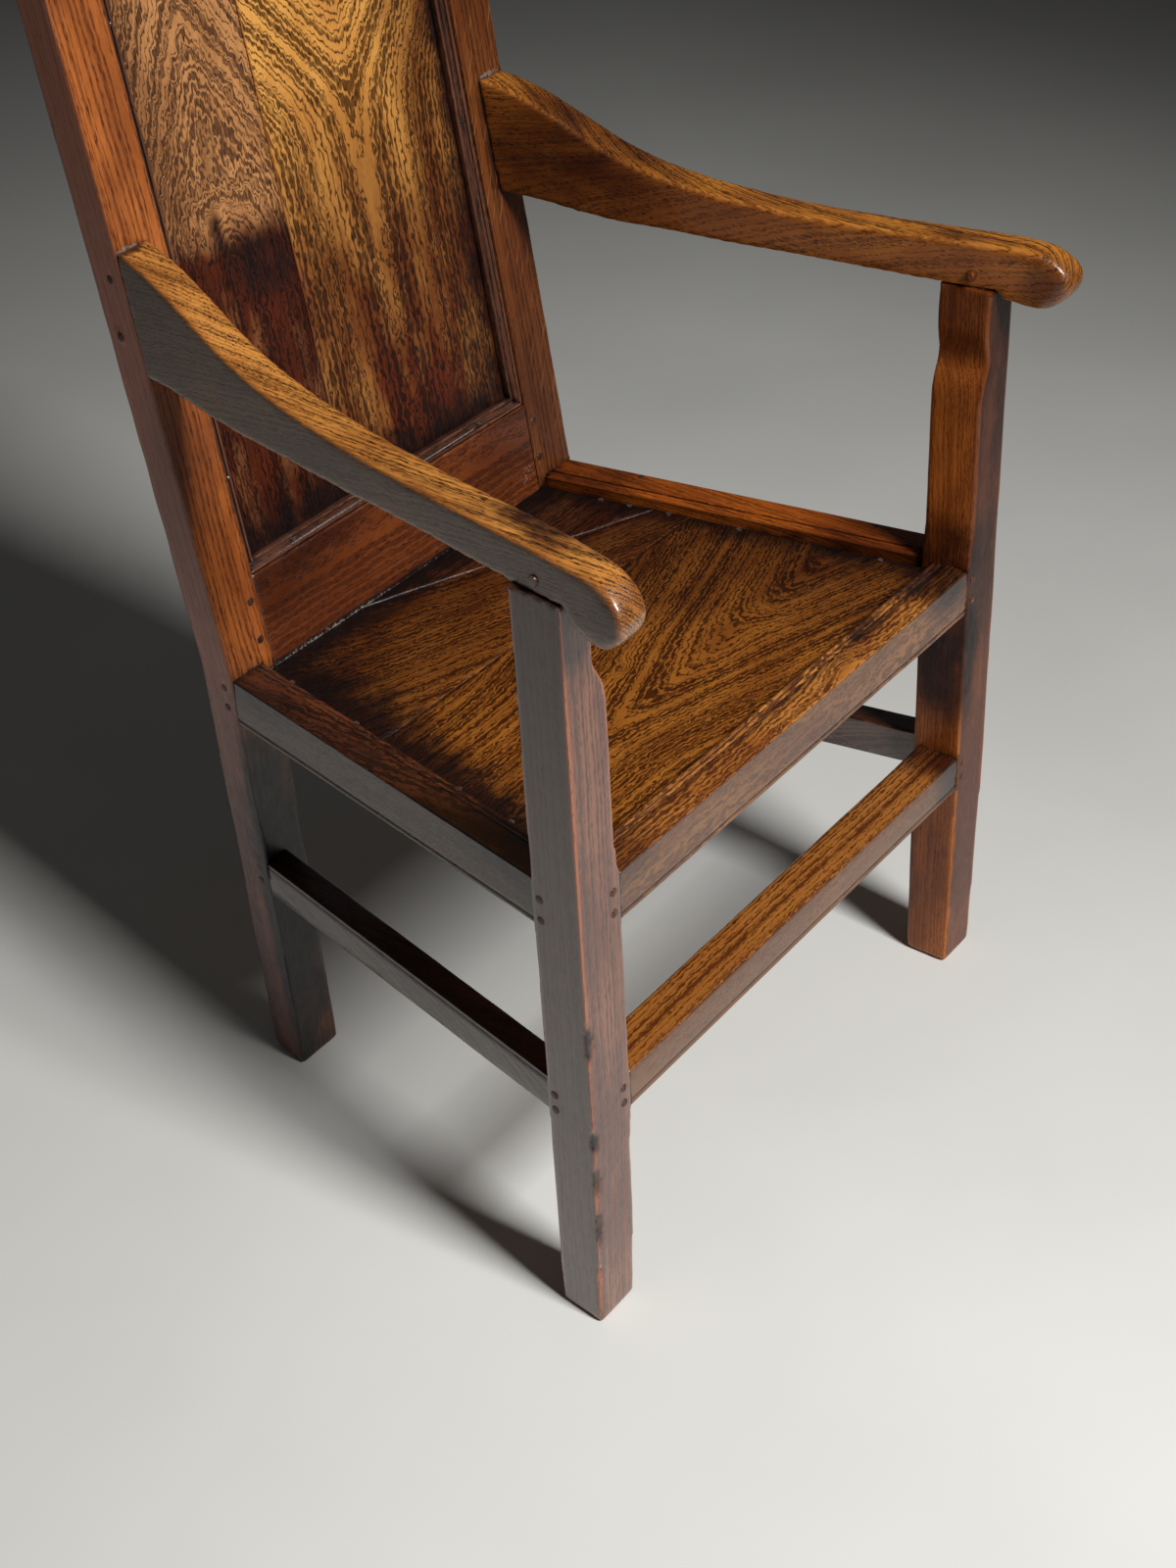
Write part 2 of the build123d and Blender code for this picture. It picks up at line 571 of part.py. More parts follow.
def back_stile():
    """Back leg and back upright in one, bent at the seat."""
    leg_lean = -math.atan2(FOOT_LEAN_BACK, SEAT_HEIGHT)
    foot_y = stile_front_y(0)
    top = BACK.from_local_coords(Vector(0, BACK_RISE, 0))
    top_back = BACK.from_local_coords(Vector(0, BACK_RISE, -STILE_DEPTH))
    bend = STILE_DEPTH / (1 + math.cos(RAKE - leg_lean))
    bend_y = SEAT_RUN + bend * (math.cos(RAKE) + math.cos(leg_lean))
    bend_z = SEAT_HEIGHT - bend * (math.sin(RAKE) + math.sin(leg_lean))
    profile = Polyline(
        (foot_y, 0), (SEAT_RUN, SEAT_HEIGHT), (top.Y, top.Z),
        (top_back.Y, top_back.Z), (bend_y, bend_z), (foot_y + STILE_DEPTH / math.cos(leg_lean), 0),
        close=True,
    )
    stile = extrude(Plane.YZ * make_face(profile), amount=HALF_FRONT) - between_stiles()
    along_splay = Vector(-SPLAY, 1, 0)
    for down in (BACK.y_dir * -1, Vector(-FOOT_LEAN_IN, FOOT_LEAN_BACK, -SEAT_HEIGHT)):
        outer = Plane(origin=(HALF_BACK, SEAT_RUN, SEAT_HEIGHT), z_dir=along_splay.cross(down))
        stile = front_of(stile, outer)
    stile = chamfer(stile.faces().sort_by(Axis.Z)[0].edges(), FOOT_CHAMFER)
    stile = chamfer(stile.faces().sort_by(Axis.Z)[-1].edges(), STILE_TOP_CHAMFER)
    stile = stile - side_tenons(RAIL_LINE, RAIL_BOTTOM, SEAT_HEIGHT, FIT)
    stile = stile - side_tenons(STRETCHER_LINE, STRETCHER_BOTTOM, STRETCHER_TOP, FIT)
    stile = stile - back_tenon(-BOTTOM_RAIL_DROP, BOTTOM_RAIL_TOP, FIT)
    stile = stile - back_tenon(CREST_LOW, BACK_RISE, FIT)
    stile = stile - arm_tenon(FIT) - panel_groove()
    stile = drilled(stile, RAIL_STILE_PEGS, STRETCHER_STILE_PEGS, BOTTOM_RAIL_PEGS, CREST_PEGS)
    return drilled(stile, ARM_STILE_PEGS, SPRIGS)


def front_member(section, low, high, driven):
    """A rail or stretcher between the front posts, with a tenon at each end."""
    plane = Plane(origin=(-POST_INNER, RAIL_SETBACK, 0), x_dir=(0, 1, 0), z_dir=(1, 0, 0))
    tenon = front_tenon(low, high)
    member = extrude(plane * section, amount=2 * POST_INNER) + tenon + other_side(tenon)
    return driven.drill(member)


def side_member(section, line, low, high):
    """A rail or stretcher between a post and a stile, with a tenon at each end."""
    member = front_of(line.sweep(section, RAIL_SETBACK), Plane(origin=(0, POST_DEPTH, 0), z_dir=(0, 1, 0)))
    return front_of(member, LEG_FACE) + side_tenons(line, low, high)


def side_rail():
    """A side seat rail."""
    rail = side_member(rail_section(), RAIL_LINE, RAIL_BOTTOM, SEAT_HEIGHT)
    return drilled(rail, RAIL_POST_PEGS, RAIL_STILE_PEGS)


def side_stretcher():
    """A side stretcher, with its scratched line near the top."""
    section = stretcher_section(SIDE_STRETCHER_THICKNESS, STRETCHER_TOP - GROOVE_LINE_DROP)
    stretcher = side_member(section, STRETCHER_LINE, STRETCHER_BOTTOM, STRETCHER_TOP)
    return drilled(stretcher, STRETCHER_POST_PEGS, STRETCHER_STILE_PEGS)


def back_rail(low, high, driven):
    """A rail across the back with its tenons and its part of the panel groove."""
    tenon = back_tenon(low, high)
    rail = back_block(-STILE_INNER, STILE_INNER, low, high, 0, FRAME_THICKNESS) & between_stiles()
    rail = rail - panel_groove()
    return drilled(rail + tenon + other_side(tenon), driven, SPRIGS)


def bottom_rail():
    """The deep rail at the foot of the back, grooved for the seat boards."""
    rail = back_rail(-BOTTOM_RAIL_DROP, BOTTOM_RAIL_TOP, BOTTOM_RAIL_PEGS)
    groove_end = SEAT_RUN + BOARD_TONGUE + BOARD_FIT
    return rail - block(-FAR, FAR, 0, groove_end, BOARD_BOTTOM - BOARD_FIT, BOARD_TOP + BOARD_FIT)


def panel_boards():
    """The two boards of the back panel, left and right."""
    reach = STILE_INNER + GROOVE_DEPTH - PANEL_EDGE_GAP
    low = BOTTOM_RAIL_TOP - GROOVE_DEPTH + PANEL_EDGE_GAP
    high = CREST_LOW + GROOVE_DEPTH - PANEL_EDGE_GAP
    joint = -PANEL_JOINT_OFFSET
    half_gap = PANEL_JOINT_GAP / 2
    left = back_block(-reach, joint - half_gap, low, high, PANEL_SET, PANEL_BACK)
    right = back_block(joint + half_gap, reach, low, high, PANEL_SET, PANEL_BACK)
    return left, right


def moulding(half_length, centre, inward):
    """One panel moulding, mitred at both ends.

    centre is the middle of the frame's inner edge that it lies against, and inward the unit
    direction in the back frame from there towards the middle of the panel.
    """
    across = BACK.x_dir * inward[0] + BACK.y_dir * inward[1]
    run = across.cross(BACK.z_dir)
    middle = BACK.from_local_coords(Vector(*centre, -PANEL_SET))
    end = Plane(origin=middle - run * half_length, x_dir=across, z_dir=run)
    bar = extrude(end * moulding_section(), amount=2 * half_length)
    short = half_length - MOULDING_WIDTH
    mitres = Polyline(
        (-half_length, 0), (half_length, 0), (short, MOULDING_WIDTH), (-short, MOULDING_WIDTH),
        close=True,
    )
    bed = Plane(origin=middle, x_dir=run, z_dir=BACK.z_dir)
    return SPRIGS.drill(bar & extrude(bed * make_face(mitres), amount=PANEL_SET))


def seat_boards():
    """The front, middle and wedge-shaped back board of the seat."""
    front = BOARD_FRONT + BOARD_GAP
    back = SEAT_RUN + BOARD_TONGUE
    right_end = [(RAIL_LINE.x_at(y, BOARD_FRONT + BOARD_SHRINK_GAP), y) for y in (front, back)]
    left_end = [(-RAIL_LINE.x_at(y, BOARD_FRONT + BOARD_GAP), y) for y in (back, front)]
    seat = prism(right_end + left_end, BOARD_BOTTOM, BOARD_TOP)
    for side in (1, -1):
        corners = [(POST_INNER - BOARD_GAP, 0, POST_DEPTH + BOARD_GAP)]
        corners.append((stile_inner_x(BOARD_BOTTOM) - BOARD_GAP, SEAT_RUN - BOARD_GAP, FAR))
        for x, near, far in corners:
            x0, x1 = sorted((side * x, side * FAR))
            seat = seat - block(x0, x1, near, far, 0, FAR)
    joint = SEAT_RUN - FRONT_JOINT_DROP
    slope = -WEDGE_JOINT_DROP / (WEDGE_JOINT_X + WEDGE_RUN_OUT)

    def wedge(shift):
        """Everything behind the wedge board's joint, moved back by shift."""
        line = [(x, SEAT_RUN + slope * (x + WEDGE_RUN_OUT) + shift) for x in (-FAR, FAR)]
        return prism([*line, (FAR, FAR), (-FAR, FAR)], 0, FAR)

    front_board = seat & block(-FAR, FAR, 0, joint, 0, FAR)
    middle_board = (seat & block(-FAR, FAR, joint + BOARD_GAP, FAR, 0, FAR)) - wedge(0)
    back_board = seat & wedge(BOARD_GAP)
    return [drilled(board, RIGHT_NAILS, LEFT_NAILS) for board in (front_board, middle_board, back_board)]


def arm_profile(shape):
    """The arm seen from the side: x is the depth from the posts' front faces, y the height."""
    stile_high = stile_front_y(ARM_BACK_HIGH)
    rise = ARM_BACK_HIGH - ARM_NECK_TOP
    sweep = [(stile_high - run * ARM_SWEEP_RUN, ARM_NECK_TOP + left * rise) for run, left in ARM_SWEEP]
    nose_top = (-ARM_NOSE_START, shape.top)
    over_post = (POST_DEPTH, (ARM_NECK_TOP + shape.top) / 2)
    top = Spline((stile_high, ARM_BACK_HIGH), *sweep, over_post, nose_top)
    tip = (-shape.reach, shape.tip_z)
    drop = (-shape.drop_reach, shape.drop_z)
    heel = (-ARM_DROP_HEEL, ARM_SEAT_Z)
    brow = ((nose_top[0] + 2 * tip[0]) / 3, (3 * shape.top + shape.tip_z) / 4)
    chin = ((3 * tip[0] + drop[0]) / 4, (2 * shape.drop_z + shape.tip_z) / 3)
    throat = ((drop[0] + 2 * heel[0]) / 3, (2 * shape.drop_z + ARM_SEAT_Z) / 3)
    nose = Spline(nose_top, brow, tip, chin, drop, throat, heel, tangents=((-1, 0), (0.3, 1)))
    bend = (stile_front_y(ARM_BACK_LOW) - ARM_UNDER_BEND, ARM_SEAT_Z + ARM_UNDER_RISE)
    stile_low = (stile_front_y(ARM_BACK_LOW), ARM_BACK_LOW)
    seat = Polyline(heel, (POST_DEPTH, ARM_SEAT_Z), bend)
    under = Spline(bend, stile_low, tangents=((1, 0), (1, 0)))
    return make_face(top + nose + seat + under + Line(stile_low, (stile_high, ARM_BACK_HIGH)))


def arm(nose):
    """A sawn arm: deep where it meets the stile, with a rounded drop over the post's front."""
    shape = extrude(Plane.YZ * arm_profile(nose), amount=FAR)
    shape = shape & ARM_LINE.bar(FAR, FAR, 0, ARM_THICKNESS, 0, FAR)
    flats = shape.faces().filter_by(Plane(origin=(0, 0, 0), z_dir=ARM_LINE.plane.y_dir))
    under = stile_front_y(ARM_BACK_LOW)
    long_edges = [
        edge for face in flats for edge in face.edges()
        if edge.center().Z > ARM_SEAT_Z and edge.center().Y < under
    ]
    shape = fillet(long_edges, ARM_EASE)
    shape = shape + arm_tenon() - post_tenon(FIT)
    return drilled(shape, ARM_STILE_PEGS, ARM_POST_PEGS)


# ---- the chair ----
def build():
    """Every piece by its name."""
    front_section = stretcher_section(FRONT_STRETCHER_DEPTH, STRETCHER_BOTTOM + SCRATCH_RISE)
    parts = {
        "front_seat_rail": front_member(rail_section(), RAIL_BOTTOM, SEAT_HEIGHT, RAIL_PEGS),
        "front_stretcher": front_member(front_section, STRETCHER_BOTTOM, STRETCHER_TOP, STRETCHER_PEGS),
        "back_bottom_rail": bottom_rail(),
        "back_crest_rail": back_rail(CREST_LOW, BACK_RISE, CREST_PEGS),
    }
    pairs = {
        "front_post": front_post(),
        "back_stile": back_stile(),
        "side_seat_rail": side_rail(),
        "side_stretcher": side_stretcher(),
    }
    for name, right in pairs.items():
        parts[name + "_left"] = other_side(right)
        parts[name + "_right"] = right
    parts["arm_left"] = other_side(arm(LEFT_NOSE))
    parts["arm_right"] = arm(RIGHT_NOSE)
    parts["side_seat_rail_left"] = LEFT_NAILS.drill(parts["side_seat_rail_left"])
    parts["side_seat_rail_right"] = drilled(parts["side_seat_rail_right"], RIGHT_NAILS, TACKS)
    parts["back_panel_left"], parts["back_panel_right"] = panel_boards()
    half_height = (CREST_LOW - BOTTOM_RAIL_TOP) / 2
    middle = BOTTOM_RAIL_TOP + half_height
    parts["panel_moulding_left"] = moulding(half_height, (-STILE_INNER, middle), (1, 0))
    parts["panel_moulding_right"] = moulding(half_height, (STILE_INNER, middle), (-1, 0))
    parts["panel_moulding_bottom"] = moulding(STILE_INNER, (0, BOTTOM_RAIL_TOP), (0, 1))
    parts["panel_moulding_top"] = moulding(STILE_INNER, (0, CREST_LOW), (0, -1))
    boards = seat_boards()
    parts["seat_board_front"], parts["seat_board_middle"], parts["seat_board_back"] = boards
    groups = {
        "seat_frame_pegs": (RAIL_PEGS, RAIL_POST_PEGS, RAIL_STILE_PEGS),
        "stretcher_pegs": (STRETCHER_PEGS, STRETCHER_POST_PEGS, STRETCHER_STILE_PEGS),
        "back_frame_pegs": (BOTTOM_RAIL_PEGS, CREST_PEGS),
        "arm_pegs": (ARM_STILE_PEGS, ARM_POST_PEGS),
        "seat_board_nails": (RIGHT_NAILS, LEFT_NAILS),
        "moulding_sprigs": (SPRIGS,),
        "rail_tacks": (TACKS,),
    }
    for name, sets in groups.items():
        parts[name] = Compound(children=[solid for driven in sets for solid in driven.solids()])
    return parts


def main():
    """Stands the chair on its origin and writes one file for each piece."""
    os.makedirs("parts", exist_ok=True)
    parts = build()
    box = Compound(children=[Compound(part.solids()) for part in parts.values()]).bounding_box()
    middle = box.center()
    stand = Pos(-middle.X, -middle.Y, -box.min.Z)
    print(f"depth origin {middle.Y:.3f}, size {box.size.X:.1f} x {box.size.Y:.1f} x {box.size.Z:.1f}")
    for name, part in parts.items():
        export_step(stand * Compound(part.solids()), f"parts/{name}.step")


main()
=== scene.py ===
"""Looks of a joined oak armchair with a panelled back, in old waxed oak.

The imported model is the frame. Every wooden member is a worn copy of its CAD node, and each
carries an oak finish whose grain runs the way the member was cut. Places are metres in the
meshes, sizes are millimetres where a comment says so, and left and right are as seen from the
front.
"""

import json
import logging
import math
from dataclasses import dataclass, field, replace
from enum import Enum
from typing import Any, Callable, NamedTuple, Sequence

import bmesh
import bpy
from mathutils import Euler, Matrix, Vector, noise
from mathutils.bvhtree import BVHTree

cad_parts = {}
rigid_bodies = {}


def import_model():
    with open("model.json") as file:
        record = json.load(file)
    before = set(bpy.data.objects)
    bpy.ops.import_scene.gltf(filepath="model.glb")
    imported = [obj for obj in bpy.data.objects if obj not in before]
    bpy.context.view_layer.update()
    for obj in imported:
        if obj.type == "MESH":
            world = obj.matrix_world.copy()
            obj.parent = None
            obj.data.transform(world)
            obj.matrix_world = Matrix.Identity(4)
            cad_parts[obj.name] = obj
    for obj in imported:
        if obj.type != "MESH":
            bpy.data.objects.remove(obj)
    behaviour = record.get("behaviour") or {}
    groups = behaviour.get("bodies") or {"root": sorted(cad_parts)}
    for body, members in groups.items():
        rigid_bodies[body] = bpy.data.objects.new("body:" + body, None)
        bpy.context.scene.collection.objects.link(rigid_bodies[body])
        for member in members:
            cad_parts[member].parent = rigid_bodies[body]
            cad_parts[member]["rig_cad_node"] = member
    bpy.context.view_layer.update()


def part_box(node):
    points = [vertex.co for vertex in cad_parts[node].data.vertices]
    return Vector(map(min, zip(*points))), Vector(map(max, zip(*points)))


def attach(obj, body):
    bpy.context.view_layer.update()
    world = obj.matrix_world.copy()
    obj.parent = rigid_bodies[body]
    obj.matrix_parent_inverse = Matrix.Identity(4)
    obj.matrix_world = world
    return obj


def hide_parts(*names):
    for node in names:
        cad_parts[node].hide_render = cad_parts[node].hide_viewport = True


log = logging.getLogger("chair")

MM = 0.001
MERGE = 0.01 * MM                      # vertices closer than this are one
TOUCH = 0.001 * MM                     # a vertex this close to a cut lies on it
FLAT = math.radians(0.6)               # faces that turn less than this are one
PEGS = ("arm_pegs", "back_frame_pegs", "seat_frame_pegs", "stretcher_pegs")
FASTENINGS = ("pegs", "nails", "tacks", "sprigs")
RAKE = math.radians(8.0)
SEAT_Z = 0.430
X_AXIS = Vector((1, 0, 0))
Y_AXIS = Vector((0, 1, 0))
Z_AXIS = Vector((0, 0, 1))
UP_RAKE = Vector((0, math.sin(RAKE), math.cos(RAKE)))
OUT_OF_BACK = Vector((0, -math.cos(RAKE), math.sin(RAKE)))
# A pattern's edge that comes up softly.
EASED = {"interpolation_type": "SMOOTHSTEP"}
# Smoothing that takes a vertex half way to the middle of those round it.
HALF_WAY = {"factor": 0.5, "use_axis_x": True, "use_axis_y": True, "use_axis_z": True}


def linear(code: str) -> tuple[float, float, float, float]:
    """Turns an sRGB hex colour into linear light.

    Args:
        code: Six hex digits with a leading hash.

    Returns:
        Red, green, blue and an alpha of one.
    """
    shares = [int(code[i : i + 2], 16) / 255 for i in (1, 3, 5)]
    light = [s / 12.92 if s <= 0.04045 else ((s + 0.055) / 1.055) ** 2.4 for s in shares]
    return (*light, 1.0)


def smooth(low: float, high: float, value: float) -> float:
    """Eases from 0 at low to 1 at high."""
    share = min(1.0, max(0.0, (value - low) / (high - low)))
    return share * share * (3 - 2 * share)


def distance(place: Vector, at: Sequence[float], reach: Sequence[float]) -> float:
    """Distance from a place to a middle, where 1 is the surface of an ellipsoid of this reach."""
    return math.sqrt(sum(((a - b) / r) ** 2 for a, b, r in zip(place, at, reach)))


def centre(node: str) -> Vector:
    """Middle of a node's box."""
    low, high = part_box(node)
    return (low + high) / 2


def mark_inside(
    faces: Sequence[bmesh.types.BMFace], layer: bmesh.types.BMLayerItem, rim: float = 0.12
) -> None:
    """Fills a float layer on some faces: 1 at the vertices that only they touch.

    Args:
        faces: The faces.
        layer: The layer.
        rim: Its value at their other vertices.
    """
    some = set(faces)
    for vert in {vert for face in faces for vert in face.verts}:
        vert[layer] = 1.0 if some.issuperset(vert.link_faces) else rim


def squared(place: Vector, front: float) -> Vector:
    """Shift that brings the outer back arris of a front post out towards a square section.

    Args:
        place: A point of the post, or of a peg in it, in metres.
        front: Y of the front faces of the posts.

    Returns:
        The shift: 0.085 mm outwards for each mm behind the front.
    """
    outer_side = smooth(0.262, 0.279, abs(place.x))
    within_post = smooth(0.060, 0.048, place.y - front)
    shift = 0.085 * max(0.0, place.y - front) * outer_side * within_post
    return Vector((math.copysign(shift, place.x), 0.0, 0.0))


def islands(verts: Sequence[bmesh.types.BMVert]) -> list[list[bmesh.types.BMVert]]:
    """Sorts vertices into the loose parts that they make up.

    Args:
        verts: All the vertices of a mesh.

    Returns:
        The vertices of each part.
    """
    left = set(verts)
    found = []
    for first in verts:
        if first not in left:
            continue
        left.discard(first)
        part = [first]
        for vert in part:
            for edge in vert.link_edges:
                other = edge.other_vert(vert)
                if other in left:
                    left.discard(other)
                    part.append(other)
        found.append(part)
    return found


def search_tree(meshes: Sequence[bpy.types.Mesh]) -> BVHTree:
    """Gathers the faces of some meshes into one search tree.

    Args:
        meshes: Meshes of objects at the origin.

    Returns:
        The tree, in the chair's frame.
    """
    corners: list[Vector] = []
    faces: list[list[int]] = []
    for mesh in meshes:
        start = len(corners)
        corners += [vert.co for vert in mesh.vertices]
        faces += [[start + i for i in face.vertices] for face in mesh.polygons]
    return BVHTree.FromPolygons(corners, faces)


def place_in_scene(name: str, data: bpy.types.ID) -> bpy.types.Object:
    """Makes an object at the origin from its data.

    Args:
        name: The object's name.
        data: A mesh, a lamp or a camera.

    Returns:
        The object.
    """
    made = bpy.data.objects.new(name, data)
    bpy.context.scene.collection.objects.link(made)
    return made


Source = bpy.types.Node | bpy.types.NodeSocket


class Graph:
    """The shader nodes of one material."""

    def __init__(self, name: str) -> None:
        """Starts an empty material.

        Args:
            name: The material's name.
        """
        self.material = bpy.data.materials.new(name)
        self.material.use_nodes = True
        self.tree = self.material.node_tree
        self.tree.nodes.clear()

    def add(
        self, kind: str, inputs: dict[str | int, Any] | None = None, **settings: Any
    ) -> bpy.types.Node:
        """Adds a node with its settings and links. A Mix node mixes colours.

        Args:
            kind: The node's type, without its ShaderNode prefix.
            inputs: Values, hex colours, nodes or output sockets, by the input's name or number.
            **settings: Properties of the node itself.

        Returns:
            The new node.
        """
        node = self.tree.nodes.new("ShaderNode" + kind)
        if kind == "Mix":
            node.data_type = "RGBA"
        for name, value in settings.items():
            setattr(node, name, value)
        for key, value in (inputs or {}).items():
            sockets = [s for s in node.inputs if s.enabled]
            socket = sockets[key] if isinstance(key, int) else next(s for s in sockets if s.name == key)
            if isinstance(value, bpy.types.Node):
                value = next(s for s in value.outputs if s.enabled)
            if isinstance(value, bpy.types.NodeSocket):
                self.tree.links.new(value, socket)
            else:
                socket.default_value = linear(value) if isinstance(value, str) else value
        return node

    def close(self, shader: bpy.types.Node) -> bpy.types.Material:
        """Ends the tree with its surface and returns the material."""
        self.add("OutputMaterial", {"Surface": shader})
        return self.material


class Side(Enum):
    """A side of the chair, as the direction of its outer faces along X."""

    LEFT = -1
    RIGHT = 1

    def __str__(self) -> str:
        """The side's name in the names of the nodes."""
        return self.name.lower()


@dataclass(frozen=True)
class Swell:
    """A place where the rings bulge round a knot."""

    across: float                      # mm in the member's own space
    along: float
    height: float                      # mm that the rings are pushed out
    reach: float                       # mm across; it is half as long again along the grain


@dataclass(frozen=True)
class Grain:
    """How the growth rings run through one member.

    The member's own space has z along the grain, y out of its best face and x across, in
    millimetres. The pith is the heart of the tree, and the rings are tubes round it. On a flat
    face they make nested arches where the trunk thickened, which is the cathedral.
    """

    along: Vector = Z_AXIS
    facing: Vector = -Y_AXIS
    origin: Vector = Vector((0, 0, 0))
    pith: tuple[float, float] = (60.0, -60.0)      # mm across, and behind the best face
    ring: float = 3.2                              # mm from ring to ring
    sway: float = 4.0                              # mm, slow wander of the rings
    figure: float = 0.8                            # mm, small waves of the rings
    figure_length: float = 24.0                    # mm along the grain from wave to wave
    jag: float = 1.3                               # mm, ragged edges of the pore bands
    arch: float = 0.0                              # slope of the arches, above 0 opening along z
    arch_start: float = 0.0                        # mm along, where the arches start
    swells: tuple[Swell, ...] = ()
    raked: bool = False                            # bends with the back at the seat
    flecks: float = 0.0                            # strength of the rays on a quartered face
    seed: float = 0.0                              # mm, start of the waves, one for each tree

    def turn(self) -> Euler:
        """Finds how the member lies.

        Returns:
            Rotation of the member's space in the chair's.
        """
        z = self.along.normalized()
        x = self.facing.cross(z).normalized()
        y = z.cross(x)
        return Matrix((x, y, z)).transposed().to_euler()


@dataclass(frozen=True)
class FaceLight:
    """Painted light, shade and sheen on the faces that look one way: an even film over the grain."""

    toward: Vector
    colour: str
    share: float


class Figure(NamedTuple):
    """The pattern of one member's oak, as shares from 0 to 1."""

    band: Source                       # the dark pore bands of the rings
    breaks: Source                     # slow noise that breaks them up
    pores: Source                      # single pores
    cloud: Source                      # patches as large as a hand
    worn: Source                       # the mesh's rubbed arrises


@dataclass(frozen=True)
class OakFinish:
    """Hand-planed oak under three centuries of wax.

    The eye sees satin wood, deep brown in the hollows and honey where hands and clothes rub it,
    rows of dark open pores that the light rakes over, and dull dirt in the corners; the hollows
    and corners also carry painted shade, and some faces painted light and sheen.
    """

    name: str
    pale: str = "#9a5c28"              # summer wood between the pore bands
    dark: str = "#3f1c08"              # open pore bands, filled with old wax
    red: str = "#6a3010"               # varnish that has stayed in patches
    red_share: float = 0.4
    worn: str = "#b8692c"              # bare arris, rubbed bright
    grime: str = "#4e3a33"             # what wax and dirt let through where no cloth reaches, and painted shade in corners
    smoke: str = "#6f4e43"             # what darkened varnish lets through, and painted shade on shaded faces and grooves
    dust: str = "#948c82"              # dust and dry wax packed into a joint
    # painted light, shade and sheen, each on the faces that look one way
    face_lights: tuple[FaceLight, ...] = ()
    contrast: float = 0.9
    pores: float = 0.6                 # how dark the single pores are beside the bands
    rough: float = 0.38
    gloss: float = 0.5                 # shine of the wood under the wax
    coat: float = 0.2                  # wax, 0 dry to 1 shining
    polish: float = 0.24               # roughness of the wax
    relief: float = 0.4

    def dress(self, piece: bpy.types.Object, grain: Grain) -> None:
        """Gives a piece this finish with its own grain.

        Args:
            piece: The object, whose mesh has the attributes of grime and painted shade, of darkened
                varnish and painted shade, of dust, and of wear.
            grain: How the rings run through it.
        """
        graph = Graph(f"{self.name}_{piece.name}")
        place = self._place(graph, grain)
        band, breaks = self._bands(graph, grain, place)
        figure = Figure(
            band, breaks, self._pores(graph, place, band),
            self._patches(graph, place, (38, 38, 110), 4.0, roughness=0.62),
            graph.add("Attribute", attribute_name="worn").outputs["Fac"],
        )
        colour, grime = self._colour(graph, grain, place, figure)
        height = graph.add("Math", {0: figure.pores, 1: 0.8, 2: band}, operation="MULTIPLY_ADD")
        dents = self._patches(graph, place, (1 / 0.22, 1 / 0.22, 1 / 0.09), 3.0)
        height = graph.add("Math", {0: dents, 1: 1.6, 2: height}, operation="MULTIPLY_ADD")
        depth = {"Height": height, "Strength": self.relief, "Distance": 0.4 * MM}
        bump = graph.add("Bump", depth, invert=True)
        low, high = self.rough - 0.07, self.rough + 0.1
        spread = {"Value": dents, "From Min": 0.3, "From Max": 0.75, "To Min": low, "To Max": high}
        rough = graph.add("MapRange", spread)
        rough = graph.add("Math", {0: grime, 1: 0.1, 2: rough}, operation="MULTIPLY_ADD")
        rough = graph.add("Math", {0: figure.worn, 1: -0.14, 2: rough}, operation="MULTIPLY_ADD")
        shader = graph.add(
            "BsdfPrincipled",
            {"Base Color": colour, "Roughness": rough, "Normal": bump, "IOR": 1.46,
             "Specular IOR Level": self.gloss,
             "Coat Weight": self.coat, "Coat Roughness": self.polish, "Coat IOR": 1.5},
        )
        piece.data.materials.clear()
        piece.data.materials.append(graph.close(shader))

    def _patches(
        self, graph: Graph, place: Source, lengths: Sequence[float], detail: float,
        start: Sequence[float] = (0.0, 0.0, 0.0), roughness: float = 0.5,
    ) -> bpy.types.Node:
        """A pattern of soft patches of a real size, stretched along the grain.

        Args:
            graph: The material's nodes.
            place: Millimetres in the member's own space.
            lengths: The patches' size each way, in mm.
            detail: Octaves of smaller patches in them.
            start: Where the pattern starts, which makes one tree unlike another.
            roughness: How strong the smaller patches are.

        Returns:
            The pattern, about 0.5 on average.
        """
        shares = tuple(1 / length for length in lengths)
        spread = graph.add("VectorMath", {0: place, 1: shares, 2: start}, operation="MULTIPLY_ADD")
        octaves = {"Scale": 1.0, "Detail": detail, "Roughness": roughness}
        return graph.add("TexNoise", {"Vector": spread, **octaves})

    def _place(self, graph: Graph, grain: Grain) -> bpy.types.Node:
        """Finds where a point is in the member's own space.

        Args:
            graph: The material's nodes.
            grain: How the member lies in the chair.

        Returns:
            The place, in millimetres.
        """
        where = graph.add("TexCoord").outputs["Object"]
        if grain.raked:
            height = graph.add("SeparateXYZ", {0: where}).outputs["Z"]
            above = graph.add("Math", {0: height, 1: SEAT_Z}, operation="SUBTRACT")
            above = graph.add("Math", {0: above, 1: 0.0}, operation="MAXIMUM")
            slope = (0.0, math.tan(RAKE), 0.0)
            shift = graph.add("VectorMath", {0: above, 1: slope}, operation="MULTIPLY")
            where = graph.add("VectorMath", {0: where, 1: shift}, operation="SUBTRACT")
        lie = {"Location": grain.origin, "Rotation": grain.turn(), "Scale": (MM, MM, MM)}
        return graph.add("Mapping", {"Vector": where, **lie}, vector_type="TEXTURE")

    def _far(self, graph: Graph, grain: Grain, place: Source) -> Source:
        """Measures the wood between a point and the pith, with the arches and the knots.

        Args:
            graph: The material's nodes.
            grain: How the rings run.
            place: Millimetres in the member's own space.

        Returns:
            The distance in millimetres.
        """
        flat = graph.add("VectorMath", {0: place, 1: (1.0, 1.0, 0.0)}, operation="MULTIPLY")
        off = graph.add("VectorMath", {0: flat, 1: (*grain.pith, 0.0)}, operation="SUBTRACT")
        far = graph.add("VectorMath", {0: off}, operation="LENGTH").outputs["Value"]
        if grain.arch:
